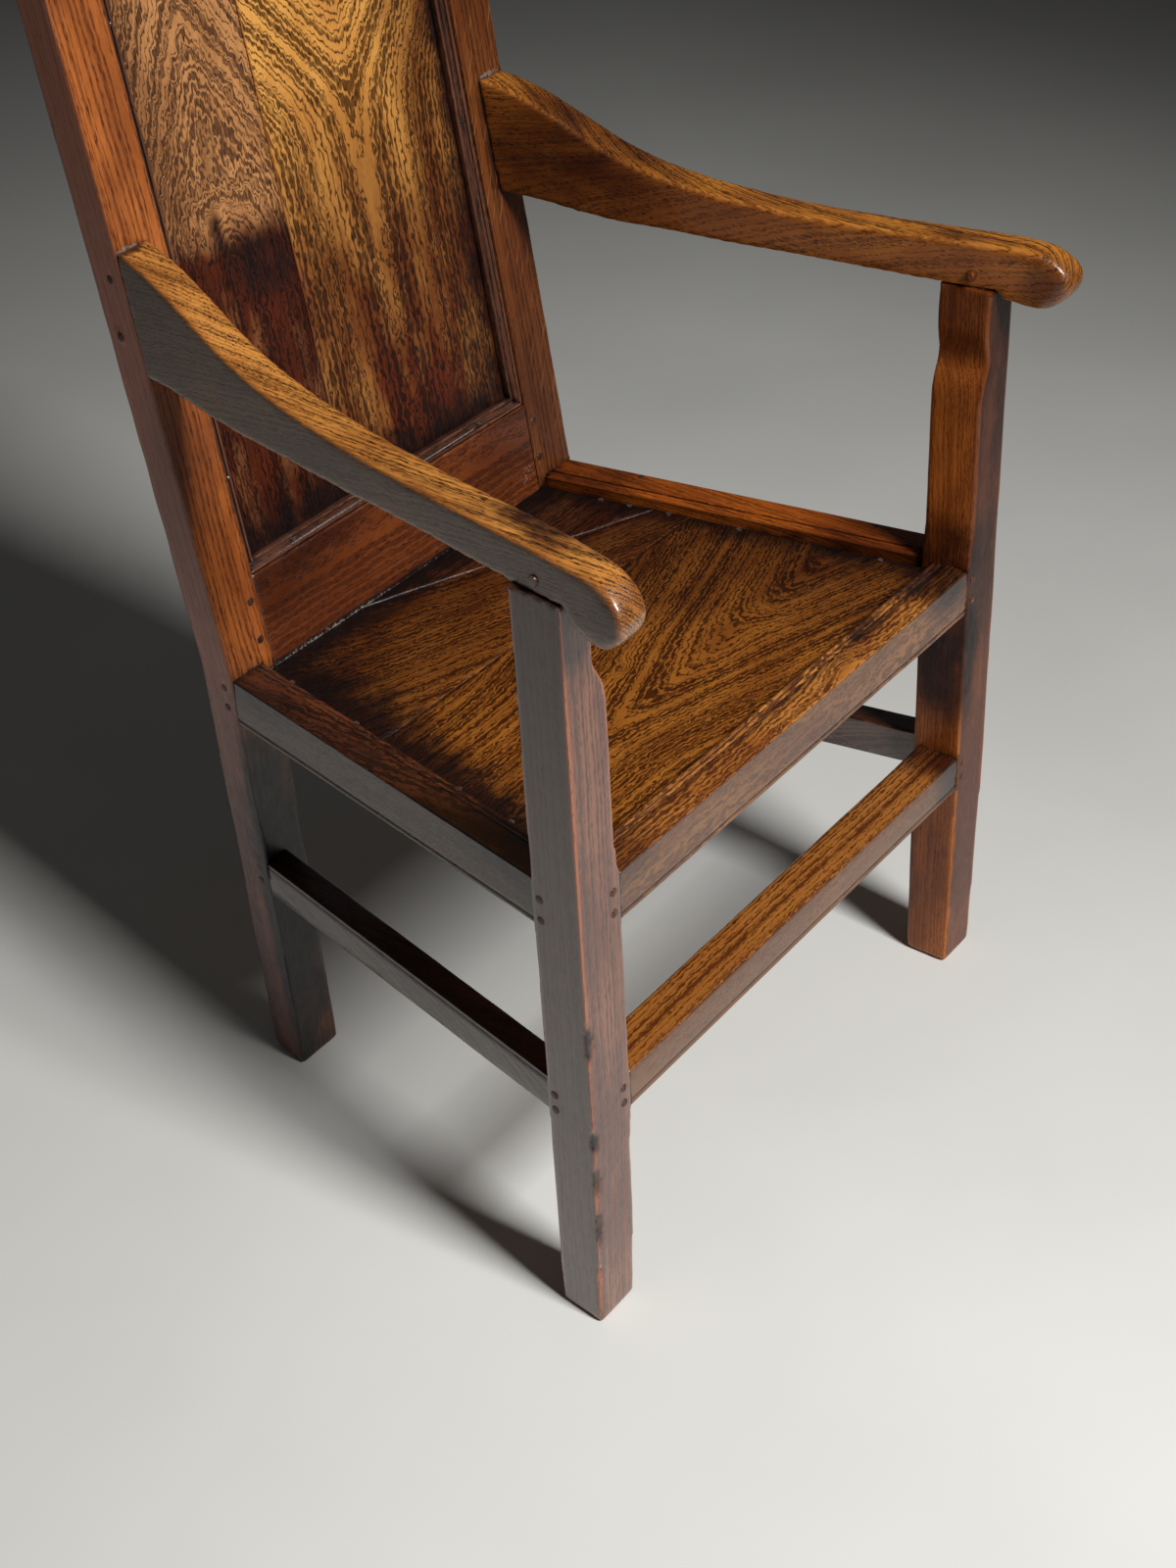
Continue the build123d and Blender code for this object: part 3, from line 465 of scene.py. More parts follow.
            # The slope grows from nothing to the whole arch within about 30 mm of its start.
            along = graph.add("SeparateXYZ", {0: place}).outputs["Z"]
            past = graph.add("Math", {0: along, 1: grain.arch_start}, operation="SUBTRACT")
            bent = graph.add("Math", {0: past, 1: past, 2: 30.0**2}, operation="MULTIPLY_ADD")
            bent = graph.add("Math", {0: bent, 1: 0.5}, operation="POWER")
            rise = graph.add("Math", {0: past, 1: bent}, operation="ADD")
            far = graph.add("Math", {0: rise, 1: -grain.arch / 2, 2: far}, operation="MULTIPLY_ADD")
        for swell in grain.swells:
            middle = (swell.across, 0.0, swell.along)
            size = (1 / swell.reach, 0.0, 1 / (1.5 * swell.reach))
            away = graph.add("VectorMath", {0: place, 1: middle}, operation="SUBTRACT")
            away = graph.add("VectorMath", {0: away, 1: size}, operation="MULTIPLY")
            away = graph.add("VectorMath", {0: away, 1: away}, operation="DOT_PRODUCT").outputs["Value"]
            away = graph.add("Math", {0: away, 1: -1.0}, operation="MULTIPLY")
            hill = graph.add("Math", {0: away}, operation="EXPONENT")
            far = graph.add("Math", {0: hill, 1: swell.height, 2: far}, operation="MULTIPLY_ADD")
        return far

    def _bands(self, graph: Graph, grain: Grain, place: Source) -> tuple[Source, Source]:
        """Draws the dark pore bands of the rings, coarser than real ones so that they show.

        Args:
            graph: The material's nodes.
            grain: How the rings run.
            place: Millimetres in the member's own space.

        Returns:
            The bands, and the slow noise that breaks them up.
        """
        far = self._far(graph, grain, place)
        wave = grain.figure_length
        start = (grain.seed, grain.seed * 0.7, -grain.seed)
        for reach, lengths in (
            (grain.sway, (60, 60, 230)),
            (grain.figure, (wave * 0.5, wave * 0.5, wave)),
            (grain.jag, (1.4, 1.4, 8.0)),
        ):
            ripple = self._patches(graph, place, lengths, 1.0, start)
            far = graph.add("Math", {0: ripple, 1: 2 * reach, 2: far}, operation="MULTIPLY_ADD")
        # Runs of wet and dry years change the rings' width, and each year has a band of its own.
        slowly = graph.add("Math", {0: far, 1: 4.2 * grain.ring}, operation="DIVIDE")
        wet = graph.add("TexNoise", {"W": slowly, "Detail": 0.0}, noise_dimensions="1D")
        far = graph.add("Math", {0: wet, 1: 1.2 * grain.ring, 2: far}, operation="MULTIPLY_ADD")
        count = graph.add("Math", {0: far, 1: grain.ring}, operation="DIVIDE")
        share = graph.add("Math", {0: count}, operation="FRACT")
        year = graph.add("Math", {0: count}, operation="FLOOR")
        odd = graph.add("TexWhiteNoise", {"W": year}, noise_dimensions="1D")
        width = graph.add("MapRange", {"Value": odd, "To Min": 0.48, "To Max": 0.8})
        rise = graph.add("MapRange", {"Value": share, "From Max": 0.1}, **EASED)
        end = {"From Min": 0.32, "From Max": width, "To Min": 1.0, "To Max": 0.0}
        fall = graph.add("MapRange", {"Value": share, **end}, **EASED)
        band = graph.add("Math", {0: rise, 1: fall}, operation="MULTIPLY")
        breaks = self._patches(graph, place, (7, 7, 18), 3.0)
        faint = {"From Min": 0.28, "From Max": 0.48, "To Min": 0.45}
        hold = graph.add("MapRange", {"Value": breaks, **faint})
        return graph.add("Math", {0: band, 1: hold}, operation="MULTIPLY"), breaks

    def _pores(self, graph: Graph, place: Source, band: Source) -> Source:
        """Draws single pores: 0.3 mm wide on the wood, and 1 mm here so that they show.

        Args:
            graph: The material's nodes.
            place: Millimetres in the member's own space.
            band: The pore bands, where they lie thick.

        Returns:
            The pores.
        """
        dots = self._patches(graph, place, (1, 1, 7), 1.0)
        dots = graph.add("MapRange", {"Value": dots, "From Min": 0.52, "From Max": 0.62}, **EASED)
        likely = graph.add("MapRange", {"Value": band, "To Min": 0.35, "To Max": 1.0})
        return graph.add("Math", {0: dots, 1: likely}, operation="MULTIPLY")

    def _colour(
        self, graph: Graph, grain: Grain, place: Source, figure: Figure
    ) -> tuple[Source, Source]:
        """Colours the oak: the wood, the painted light and sheen on the faces that look one way, the
        rubbed arrises, and the dirt with painted shade.

        Args:
            graph: The material's nodes.
            grain: How the rings run.
            place: Millimetres in the member's own space.
            figure: The wood's pattern.

        Returns:
            The colour and the share of grime and painted shade.
        """
        lines = graph.add(
            "Math", {0: figure.pores, 1: self.pores, 2: figure.band}, operation="MULTIPLY_ADD"
        )
        lines = graph.add("Math", {0: lines, 1: self.contrast}, operation="MULTIPLY", use_clamp=True)
        patch = {"From Min": 0.36, "From Max": 0.66, "To Max": 2 * self.red_share}
        patch = graph.add("MapRange", {"Value": figure.cloud, **patch}, **EASED)
        colour = graph.add("Mix", {"Factor": patch, "A": self.pale, "B": self.red})
        colour = graph.add("Mix", {"Factor": lines, "A": colour, "B": self.dark})
        if grain.flecks:
            ray = graph.add("VectorRotate", {"Vector": place, "Axis": Y_AXIS, "Angle": 0.42})
            ray = self._patches(graph, ray, (2.2, 2.2, 34), 1.0)
            lit = {"From Min": 0.62, "From Max": 0.74, "To Max": grain.flecks}
            ray = graph.add("MapRange", {"Value": ray, **lit})
            colour = graph.add("Mix", {"Factor": ray, "A": colour, "B": self.worn})
        for face_light in self.face_lights:
            colour = self._face_lighted(graph, face_light, colour, lines, figure.cloud)
        rubbed = graph.add(
            "Math", {0: figure.breaks, 1: 0.9, 2: figure.worn}, operation="MULTIPLY_ADD"
        )
        bright = {"From Min": 0.62, "From Max": 1.05, "To Max": 0.9}
        rubbed = graph.add("MapRange", {"Value": rubbed, **bright}, **EASED)
        rubbed = graph.add("Math", {0: rubbed, 1: figure.worn}, operation="MULTIPLY")
        bare = graph.add("Mix", {"Factor": lines, "A": self.worn, "B": self.red})
        colour = graph.add("Mix", {"Factor": rubbed, "A": colour, "B": bare})
        return self._darkened(graph, place, colour, figure.cloud)

    def _face_lighted(
        self, graph: Graph, face_light: FaceLight, colour: Source, lines: Source, cloud: Source
    ) -> Source:
        """Paints a film of light and shade over the faces that look one way, thinner over the open pores.

        Args:
            graph: The material's nodes.
            face_light: The film.
            colour: The wood's colour.
            lines: Its bands and pores.
            cloud: Patches where the film is thin.

        Returns:
            The colour under the film.
        """
        normal = graph.add("NewGeometry").outputs["Normal"]
        side = graph.add("VectorMath", {0: normal, 1: face_light.toward}, operation="DOT_PRODUCT")
        turned = {"From Min": 0.55, "From Max": 0.95, "To Max": face_light.share}
        side = graph.add("MapRange", {"Value": side.outputs["Value"], **turned}, **EASED)
        patchy = {"From Min": 0.3, "From Max": 0.5, "To Min": 0.8}
        thin = graph.add("MapRange", {"Value": cloud, **patchy})
        side = graph.add("Math", {0: side, 1: thin}, operation="MULTIPLY")
        filled = graph.add("MapRange", {"Value": lines, "To Min": 1.0, "To Max": 0.5})
        side = graph.add("Math", {0: side, 1: filled}, operation="MULTIPLY")
        return graph.add("Mix", {"Factor": side, "A": colour, "B": face_light.colour})

    def _darkened(
        self, graph: Graph, place: Source, colour: Source, cloud: Source
    ) -> tuple[Source, Source]:
        """Darkens the wood with old varnish, grime and painted shade, and packs dust into its joints.

        Args:
            graph: The material's nodes.
            place: Millimetres in the member's own space.
            colour: The wood's colour.
            cloud: Patches that make the varnish uneven.

        Returns:
            The colour and the share of grime and painted shade.
        """
        smoke = graph.add("Attribute", attribute_name="smoke").outputs["Fac"]
        uneven = {"From Min": 0.3, "From Max": 0.7, "To Min": 0.75, "To Max": 1.3}
        curl = graph.add("MapRange", {"Value": cloud, **uneven})
        smoke = graph.add("Math", {0: smoke, 1: curl}, operation="MULTIPLY", use_clamp=True)
        stain = {"Factor": smoke, "A": colour, "B": self.smoke}
        colour = graph.add("Mix", stain, blend_type="MULTIPLY")
        grime = graph.add("Attribute", attribute_name="grime").outputs["Fac"]
        blots = self._patches(graph, place, (19, 19, 26), 5.0, roughness=0.6)
        ragged = {"From Min": 0.3, "From Max": 0.7, "To Min": -0.26, "To Max": 0.26}
        edge = graph.add("MapRange", {"Value": blots, **ragged})
        darkened = graph.add("Math", {0: grime, 1: edge}, operation="ADD")
        darkened = graph.add("MapRange", {"Value": darkened, "From Min": 0.1, "From Max": 0.95}, **EASED)
        some = graph.add("MapRange", {"Value": grime, "From Min": 0.02, "From Max": 0.2})
        darkened = graph.add("Math", {0: darkened, 1: some}, operation="MULTIPLY")
        stain = {"Factor": darkened, "A": colour, "B": self.grime}
        colour = graph.add("Mix", stain, blend_type="MULTIPLY")
        dust = graph.add("Attribute", attribute_name="dust").outputs["Fac"]
        crumbs = self._patches(graph, place, (2.6, 2.6, 2.6), 3.0)
        dusty = graph.add("Math", {0: crumbs, 1: dust}, operation="ADD")
        packed = {"From Min": 0.98, "From Max": 1.3, "To Max": 0.9}
        dusty = graph.add("MapRange", {"Value": dusty, **packed})
        some = graph.add("Math", {0: dust, 1: 0.02}, operation="GREATER_THAN")
        dusty = graph.add("Math", {0: dusty, 1: some}, operation="MULTIPLY")
        return graph.add("Mix", {"Factor": dusty, "A": colour, "B": self.dust}), darkened


@dataclass(frozen=True)
class Chip:
    """A splinter or knock lost from a member."""

    at: tuple[float, float, float]     # metres in the chair's frame
    reach: tuple[float, float, float]  # metres, half its extent each way
    depth: float                       # mm


@dataclass(frozen=True)
class Wear:
    """How a member has been used."""

    arris: float = 0.7                 # mm gone from its arrises
    ripple: float = 0.22               # mm, the plane's unevenness
    foot: float = 0.0                  # mm gone round the foot
    chips: tuple[Chip, ...] = ()


def neighbours(node: str) -> BVHTree:
    """Gathers every wooden CAD node but one and the pegs into a search tree.

    Args:
        node: The node left out.

    Returns:
        The tree, in the chair's frame.
    """
    wood = [
        other.data for other in bpy.data.objects
        if "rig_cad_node" in other and other.name != node and not other.name.endswith(FASTENINGS)
    ]
    return search_tree(wood)


@dataclass
class Member:
    """One wooden member: a worn copy of its CAD node under a finish of its own."""

    node: str
    grain: Grain
    finish: OakFinish
    wear: Wear = field(default_factory=Wear)
    slot: str = "frame_oak"
    shelter: float = 1.3               # how strongly painted shade and dirt darken its corners
    sharp: float = math.radians(38)    # angle past which an edge shades sharp
    piece: bpy.types.Object | None = None

    def solid(self) -> bmesh.types.BMesh:
        """Copies the CAD node's mesh.

        Returns:
            The copy, merged into closed solids.
        """
        work = bmesh.new()
        work.from_mesh(bpy.data.objects[self.node].data)
        bmesh.ops.remove_doubles(work, verts=work.verts, dist=MERGE)
        bmesh.ops.recalc_face_normals(work, faces=work.faces)
        return work

    def finish_mesh(self, work: bmesh.types.BMesh) -> bpy.types.Object:
        """Turns a worn mesh into the piece that stands for the node.

        Args:
            work: The mesh, which is freed.

        Returns:
            The new object, riding on the chair.
        """
        mesh = bpy.data.meshes.new(self.node + "_worn")
        work.to_mesh(mesh)
        work.free()
        mesh.shade_smooth()
        mesh.set_sharp_from_angle(angle=self.sharp)
        self.piece = place_in_scene(self.node + "_worn", mesh)
        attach(self.piece, "root")
        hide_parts(self.node)
        self.finish.dress(self.piece, self.grain)
        return self.piece

    def rub(self, work: bmesh.types.BMesh, worn: bmesh.types.BMLayerItem) -> None:
        """Moves every vertex as planing, use and knocks have left it.

        Args:
            work: The mesh.
            worn: Its float layer that is 1 on an arris.
        """
        work.normal_update()
        wear = self.wear
        foot_top = 0.022
        moves = []
        for vert in work.verts:
            place = vert.co / MM
            # The plane left waves about 95 mm long, with short ones of 24 mm on them.
            slow = noise.noise(place / 95) + 0.35 * noise.noise(place / 24)
            uneven = 0.55 + 0.9 * noise.noise(place / 31 + Vector((9, 4, 2)))
            loss = wear.arris * vert[worn] * max(0.0, uneven) - wear.ripple * slow
            if vert.co.z < foot_top:
                loss += wear.foot * vert[worn] * smooth(foot_top, 0.0, vert.co.z)
            for chip in wear.chips:
                away = distance(vert.co, chip.at, chip.reach)
                if away < 1.4:
                    ragged = away + 0.25 * noise.noise(place / 3.5)
                    loss += chip.depth * smooth(1.1, 0.55, ragged)
            moves.append(-vert.normal * loss * MM)
        for vert, move in zip(work.verts, moves):
            vert.co += move

    def build(self) -> bpy.types.Object:
        """Makes the piece, each kind of member in its own way."""
        raise NotImplementedError


@dataclass
class Timber(Member):
    """A heavy member whose arrises are rounded all over: a leg, a stile or an arm."""

    cell: float = 2.1                  # mm, the size of the mesh's faces
    splay: float = 0.0                 # lean along X of a leg below the seat
    nose: tuple[float, float] = (0.0, 0.0)     # Y where extra rounding ends and is full
    nose_rounds: int = 20
    fuller: float = 0.0                # mm that the neck of a post stands inside its drawing
    hold: float = 3.2                  # mm from a neighbour, where the wood keeps its shape
    hold_full: float = 2.4
    plug_width: float = 1.12           # a plug's width in that of its peg
    plug_short: float = 0.5            # mm that a plug's ends stay inside the peg's
    keen: float = 7.0                  # how readily a bend counts as an arris

    def build(self) -> bpy.types.Object:
        """Remeshes the solid evenly, softens it and wears it down.

        Returns:
            The piece.
        """
        work = self.solid()
        self.plug(work)
        work = self.remesh(work)
        held = self.hold_joints(work)
        free = [vert for vert in work.verts if vert[held] < 0.5]
        bmesh.ops.smooth_vert(work, verts=free, **HALF_WAY)
        self.round_nose(work)
        self.fill_out(work)
        worn = work.verts.layers.float.new("worn")
        self.find_arrises(work, worn)
        for vert in work.verts:
            vert[worn] *= 1 - vert[held]
        self.rub(work, worn)
        return self.finish_mesh(work)

    def plug(self, work: bmesh.types.BMesh) -> None:
        """Fills the peg bores, so that their rims do not crumble in the remesh.

        Args:
            work: The solid, which gets the plugs.
        """
        low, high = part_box(self.node)
        for node in PEGS:
            pegs = bmesh.new()
            pegs.from_mesh(bpy.data.objects[node].data)
            bmesh.ops.remove_doubles(pegs, verts=pegs.verts, dist=MERGE)
            for part in islands(list(pegs.verts)):
                least = Vector([min(vert.co[i] for vert in part) for i in range(3)])
                most = Vector([max(vert.co[i] for vert in part) for i in range(3)])
                if any(least[i] > high[i] + MM or most[i] < low[i] - MM for i in range(3)):
                    bmesh.ops.delete(pegs, geom=part, context="VERTS")
                    continue
                middle, size = (least + most) / 2, most - least
                long = 0 if size.x > size.y else 1
                for vert in part:
                    off = (vert.co - middle) * self.plug_width
                    off[long] = off[long] / self.plug_width
                    off[long] -= math.copysign(self.plug_short * MM, off[long])
                    vert.co = middle + off
            mesh = bpy.data.meshes.new("plugs")
            pegs.to_mesh(mesh)
            pegs.free()
            work.from_mesh(mesh)
            bpy.data.meshes.remove(mesh)

    def remesh(self, work: bmesh.types.BMesh) -> bmesh.types.BMesh:
        """Covers the solid with even faces, with its rake and splay straightened meanwhile.

        Args:
            work: The solid, which is freed.

        Returns:
            The even mesh.
        """
        bmesh.ops.bisect_plane(
            work, geom=[*work.verts, *work.edges, *work.faces], dist=TOUCH,
            plane_co=Z_AXIS * SEAT_Z, plane_no=Z_AXIS,
        )
        for vert in work.verts:
            vert.co -= self.bend(vert.co.z)
        mesh = bpy.data.meshes.new("blank")
        work.to_mesh(mesh)
        work.free()
        blank = place_in_scene("blank", mesh)
        even = blank.modifiers.new("even", "REMESH")
        even.mode = "VOXEL"
        even.voxel_size = self.cell * MM
        ready = blank.evaluated_get(bpy.context.evaluated_depsgraph_get())
        work = bmesh.new()
        work.from_mesh(ready.data)
        bpy.data.objects.remove(blank)
        bpy.data.meshes.remove(mesh)
        for vert in work.verts:
            vert.co += self.bend(vert.co.z)
        return work

    def bend(self, height: float) -> Vector:
        """How far a stile's rake and its leg's splay carry it at a height."""
        back = math.tan(RAKE) * max(0.0, height - SEAT_Z) if self.grain.raked else 0.0
        return Vector((self.splay * min(0.0, height - SEAT_Z), back, 0.0))

    def hold_joints(self, work: bmesh.types.BMesh) -> bmesh.types.BMLayerItem:
        """Marks the wood next to other members, which keeps its shape so that joints stay shut.

        Args:
            work: The even mesh.

        Returns:
            Its new float layer, 1 where the wood is held.
        """
        held = work.verts.layers.float.new("held")
        others = neighbours(self.node)
        for vert in work.verts:
            near = others.find_nearest(vert.co, self.hold * MM)[3]
            vert[held] = 0.0 if near is None else smooth(self.hold, self.hold_full, near / MM)
        return held

    def round_nose(self, work: bmesh.types.BMesh) -> None:
        """Softens the front of an arm into the bullnose that hands have made of it.

        Args:
            work: The even mesh.
        """
        start, full = self.nose
        if start == full:
            return
        for i in range(self.nose_rounds):
            reach = start + (full - start) * i / self.nose_rounds
            verts = [vert for vert in work.verts if vert.co.y < reach]
            bmesh.ops.smooth_vert(work, verts=verts, **HALF_WAY)

    def fill_out(self, work: bmesh.types.BMesh) -> None:
        """Squares a front post, and fills out its neck between the seat and the arm.

        Args:
            work: The even mesh.
        """
        if self.node.startswith("front_post"):
            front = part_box(self.node)[0].y
            for vert in work.verts:
                below_arm = smooth(0.715, 0.690, vert.co.z)
                vert.co += squared(vert.co, front) * below_arm
        if self.fuller:
            for vert in work.verts:
                height = smooth(0.600, 0.640, vert.co.z) - 0.4 * smooth(0.640, 0.690, vert.co.z)
                inner_side = smooth(0.276, 0.264, vert.co.x)
                vert.co.x -= self.fuller * MM * height * inner_side

    def find_arrises(self, work: bmesh.types.BMesh, worn: bmesh.types.BMLayerItem) -> None:
        """Marks where the surface bends outwards.

        Args:
            work: The even mesh.
            worn: The layer to fill.
        """
        work.normal_update()
        for vert in work.verts:
            bend = 0.0
            for edge in vert.link_edges:
                way = edge.other_vert(vert).co - vert.co
                bend -= way.dot(vert.normal) / max(way.length, 1e-9)
            vert[worn] = min(1.0, max(0.0, bend / max(1, len(vert.link_edges)) * self.keen))
        # The wear spreads to the vertices round each, and once more to those round them.
        for _ in range(2):
            blurred = []
            for vert in work.verts:
                around = [edge.other_vert(vert)[worn] for edge in vert.link_edges]
                blurred.append(max(vert[worn], sum(around) / max(1, len(around))))
            for vert, value in zip(work.verts, blurred):
                vert[worn] = value


@dataclass
class Board(Member):
    """A flat or moulded member that keeps its section: a rail, a stretcher, a board, a moulding."""

    run: Vector = X_AXIS               # the way its section runs
    step: float = 5.0                  # mm between cuts along it
    across: float = 8.0                # mm between cuts across it, or 0 for none
    ease: float = 1.2                  # mm, width of the eased arris
    least: float = 60.0                # mm, the shortest edge that is eased
    outward: float = math.radians(40)  # an arris is at least this sharp
    inward: float = math.radians(25)   # and a nook at least this

    def build(self) -> bpy.types.Object:
        """Eases the long arrises, cuts the mesh into short lengths and wears it down.

        Returns:
            The piece.
        """
        work = self.solid()
        bmesh.ops.dissolve_limit(work, angle_limit=FLAT, verts=work.verts, edges=work.edges)
        worn = work.verts.layers.float.new("worn")
        if self.ease:
            self.ease_arrises(work, worn)
        bmesh.ops.triangulate(work, faces=[f for f in work.faces if len(f.verts) > 4])
        self.slice(work, self.run, self.step)
        if self.across:
            for way in (X_AXIS, Y_AXIS, Z_AXIS):
                if way != self.run:
                    self.slice(work, way, self.across)
        # Marks the vertices on inward edges; the grooves there are later darkened as painted shade.
        nook = work.verts.layers.float.new("nook")
        work.normal_update()
        for edge in work.edges:
            if len(edge.link_faces) != 2 or edge.is_convex or edge.calc_face_angle() <= self.inward:
                continue
            for vert in edge.verts:
                vert[nook] = 1.0
        self.rub(work, worn)
        return self.finish_mesh(work)

    def ease_arrises(self, work: bmesh.types.BMesh, worn: bmesh.types.BMLayerItem) -> None:
        """Rounds every long outward arris and marks it as worn.

        Args:
            work: The solid.
            worn: The layer to fill.
        """
        long = []
        for edge in work.edges:
            if len(edge.link_faces) != 2 or edge.calc_length() < self.least * MM:
                continue
            wide = min(face.calc_area() / edge.calc_length() for face in edge.link_faces)
            sharp = edge.is_convex and edge.calc_face_angle() > self.outward
            if sharp and wide > 2.5 * self.ease * MM:
                long.append(edge)
        if not long:
            return
        made = bmesh.ops.bevel(
            work, geom=long, offset=self.ease * MM, offset_type="OFFSET", segments=3,
            profile=0.5, affect="EDGES", material=-1, clamp_overlap=False,
        )
        mark_inside(made["faces"], worn)

    def slice(self, work: bmesh.types.BMesh, way: Vector, step: float) -> None:
        """Cuts the mesh by planes at even steps.

        Args:
            work: The mesh.
            way: The direction that the planes look.
            step: The distance between them, in mm.
        """
        places = [vert.co.dot(way) for vert in work.verts]
        low, high = min(places), max(places)
        for i in range(1, math.ceil((high - low) / (step * MM))):
            geometry = [*work.verts, *work.edges, *work.faces]
            cut = way * (low + i * step * MM)
            bmesh.ops.bisect_plane(work, geom=geometry, dist=TOUCH, plane_co=cut, plane_no=way)


@dataclass(frozen=True)
class SoilAndShade:
    """Dirt, darkened varnish and painted shade at one place, as shares from 0 to 1."""

    grime: float = 0.0
    smoke: float = 0.0
    dust: float = 0.0


@dataclass(frozen=True)
class Spot:
    """A round or long patch on some of the nodes: a stain, dust, or a painted shadow."""

    nodes: str                          # start of their names
    at: tuple[float, float, float]      # mm across, behind the posts' front faces, and up
    reach: tuple[float, float, float]   # mm, half its extent each way
    grime: float = 0.0
    smoke: float = 0.0
    dust: float = 0.0

    def darken(self, place: Vector) -> SoilAndShade:
        """The dirt, dust and painted shade that the patch lays at a place, in the same millimetres."""
        share = smooth(1.2, 0.4, distance(place, self.at, self.reach))
        return SoilAndShade(share * self.grime, share * self.smoke, share * self.dust)


class ShadeAndPatina:
    """Finds where the wood darkens: painted shade in the corners and grooves that nearby wood shuts in,
    standing also for dirt that a cloth never reached, and the listed stains and painted shadows.
    """

    clear: float = 0.4 * MM            # how far off the surface its rays start

    def __init__(self, members: Sequence[Member], front: float, reach: float = 0.030) -> None:
        """Gathers every surface of the chair into one search tree.

        Args:
            members: The finished members.
            front: Y of the front faces of the posts.
            reach: How far away wood still shelters a place, in metres.
        """
        self.members = members
        self.front = front
        self.reach = reach
        self.tree = search_tree([m.piece.data for m in members if not isinstance(m, Pegs)])
        # Three steep rays and five low ones round the normal, by the sine of their angle to it.
        self.fan = [
            Vector((math.cos(a) * s, math.sin(a) * s, math.sqrt(1 - s * s)))
            for s, turns, start in ((0.45, 3, 0.0), (0.88, 5, 0.6))
            for a in [start + math.tau * i / turns for i in range(turns)]
        ]

    def shut_in(self, at: Vector, normal: Vector) -> float:
        """Finds how far nearby wood takes away the sky over a point.

        Args:
            at: The point, on a member.
            normal: The way that the surface looks there.

        Returns:
            The share that is taken away.
        """
        turn = normal.to_track_quat("Z", "Y")
        start = at + normal * self.clear
        total = 0.0
        for ray in self.fan:
            hit = self.tree.ray_cast(start, turn @ ray, self.reach)
            if hit[0] is not None:
                total += 1 - hit[3] / self.reach
        return total / len(self.fan)

    def spread(self, spots: Sequence[Spot], darken: dict[str, Callable[[Vector], SoilAndShade]]) -> None:
        """Writes the attributes of every member: grime with painted shade, darkened varnish with painted
        shade, and dust.

        Args:
            spots: The listed stains and painted shadows.
            darken: What a place of a node has by itself, by the start of the node's name.
        """
        for member in self.members:
            mesh = member.piece.data
            rules = [spot.darken for spot in spots if member.node.startswith(spot.nodes)]
            rules += [rule for start, rule in darken.items() if member.node.startswith(start)]
            nooks = mesh.attributes.get("nook")
            found: dict[str, list[float]] = {"grime": [], "smoke": [], "dust": []}
            for vert in mesh.vertices:
                place = Vector((vert.co.x, vert.co.y - self.front, vert.co.z)) / MM
                nook = nooks.data[vert.index].value if nooks else 0.0
                marks = [rule(place) for rule in rules]
                # Painted shade: the share of sky that nearby wood shuts off darkens a corner, standing
                # also for dirt there, and the inward edges of grooves are darkened in full.
                marks.append(SoilAndShade(member.shelter * self.shut_in(vert.co, vert.normal)))
                marks.append(SoilAndShade(nook, nook))
                for name, values in found.items():
                    values.append(min(1.0, max(getattr(there, name) for there in marks)))
            for name, values in found.items():
                mesh.attributes.new(name, "FLOAT", "POINT").data.foreach_set("value", values)


@dataclass(frozen=True)
class BlackIron:
    """Forged iron, blackened and rusted, which a broom and a cloth have rubbed to grey in spots.

    The eye sees near-black heads with a small bright glint on each.
    """

    name: str = "forged_iron"
    rust: str = "#2b1d17"
    metal: str = "#9c9288"
    bright: float = 0.45               # how much of it is rubbed

    def dress(self, piece: bpy.types.Object) -> None:
        """Gives a piece this finish.

        Args:
            piece: A CAD node, whose mesh stays as it is.
        """
        graph = Graph(f"{self.name}_{piece.name}")
        where = graph.add("TexCoord").outputs["Object"]
        # Hammer pits of about 1.5 mm.
        pits = graph.add("TexNoise", {"Vector": where, "Scale": 650.0, "Detail": 4.0})
        low = 0.66 - 0.2 * self.bright
        rubbed = graph.add("MapRange", {"Value": pits, "From Min": low, "From Max": low + 0.16})
        colour = graph.add("Mix", {"Factor": rubbed, "A": self.rust, "B": self.metal})
        polished = {"From Min": 0.3, "From Max": 0.7, "To Min": 0.6, "To Max": 0.32}
        rough = graph.add("MapRange", {"Value": pits, **polished})
        bump = graph.add("Bump", {"Height": pits, "Strength": 0.5, "Distance": 0.3 * MM})
        shader = graph.add(
            "BsdfPrincipled",
            {"Base Color": colour, "Metallic": rubbed, "Roughness": rough, "Normal": bump},
        )
        iron = graph.close(shader)
        for slot in piece.material_slots:
            slot.material = iron


@dataclass
class Camera:
    """The camera at the height of a standing person, looking down from the front left."""

    lens: float = 53.50
    sensor: float = 36.0
    height: float = 1.4439
    aside: float = -1.2369
    before: float = -0.7961            # from the front faces of the posts
    right: Vector = Vector((0.60748, -0.79289, -0.04793))
    down: Vector = Vector((-0.49347, -0.32941, -0.80497))
    ahead: Vector = Vector((0.62246, 0.51266, -0.59138))

    def build(self, front: float) -> bpy.types.Object:
        """Places the camera.

        Args:
            front: Y of the front faces of the posts.

        Returns:
            The camera.
        """
        data = bpy.data.cameras.new("camera")
        data.sensor_width = self.sensor
        data.lens = self.lens
        camera = place_in_scene("camera", data)
        turn = Matrix((self.right, -self.down, -self.ahead)).transposed().to_4x4()
        place = Vector((self.aside, self.before + front, self.height))
        camera.matrix_world = Matrix.Translation(place) @ turn
        bpy.context.scene.camera = camera
        return camera


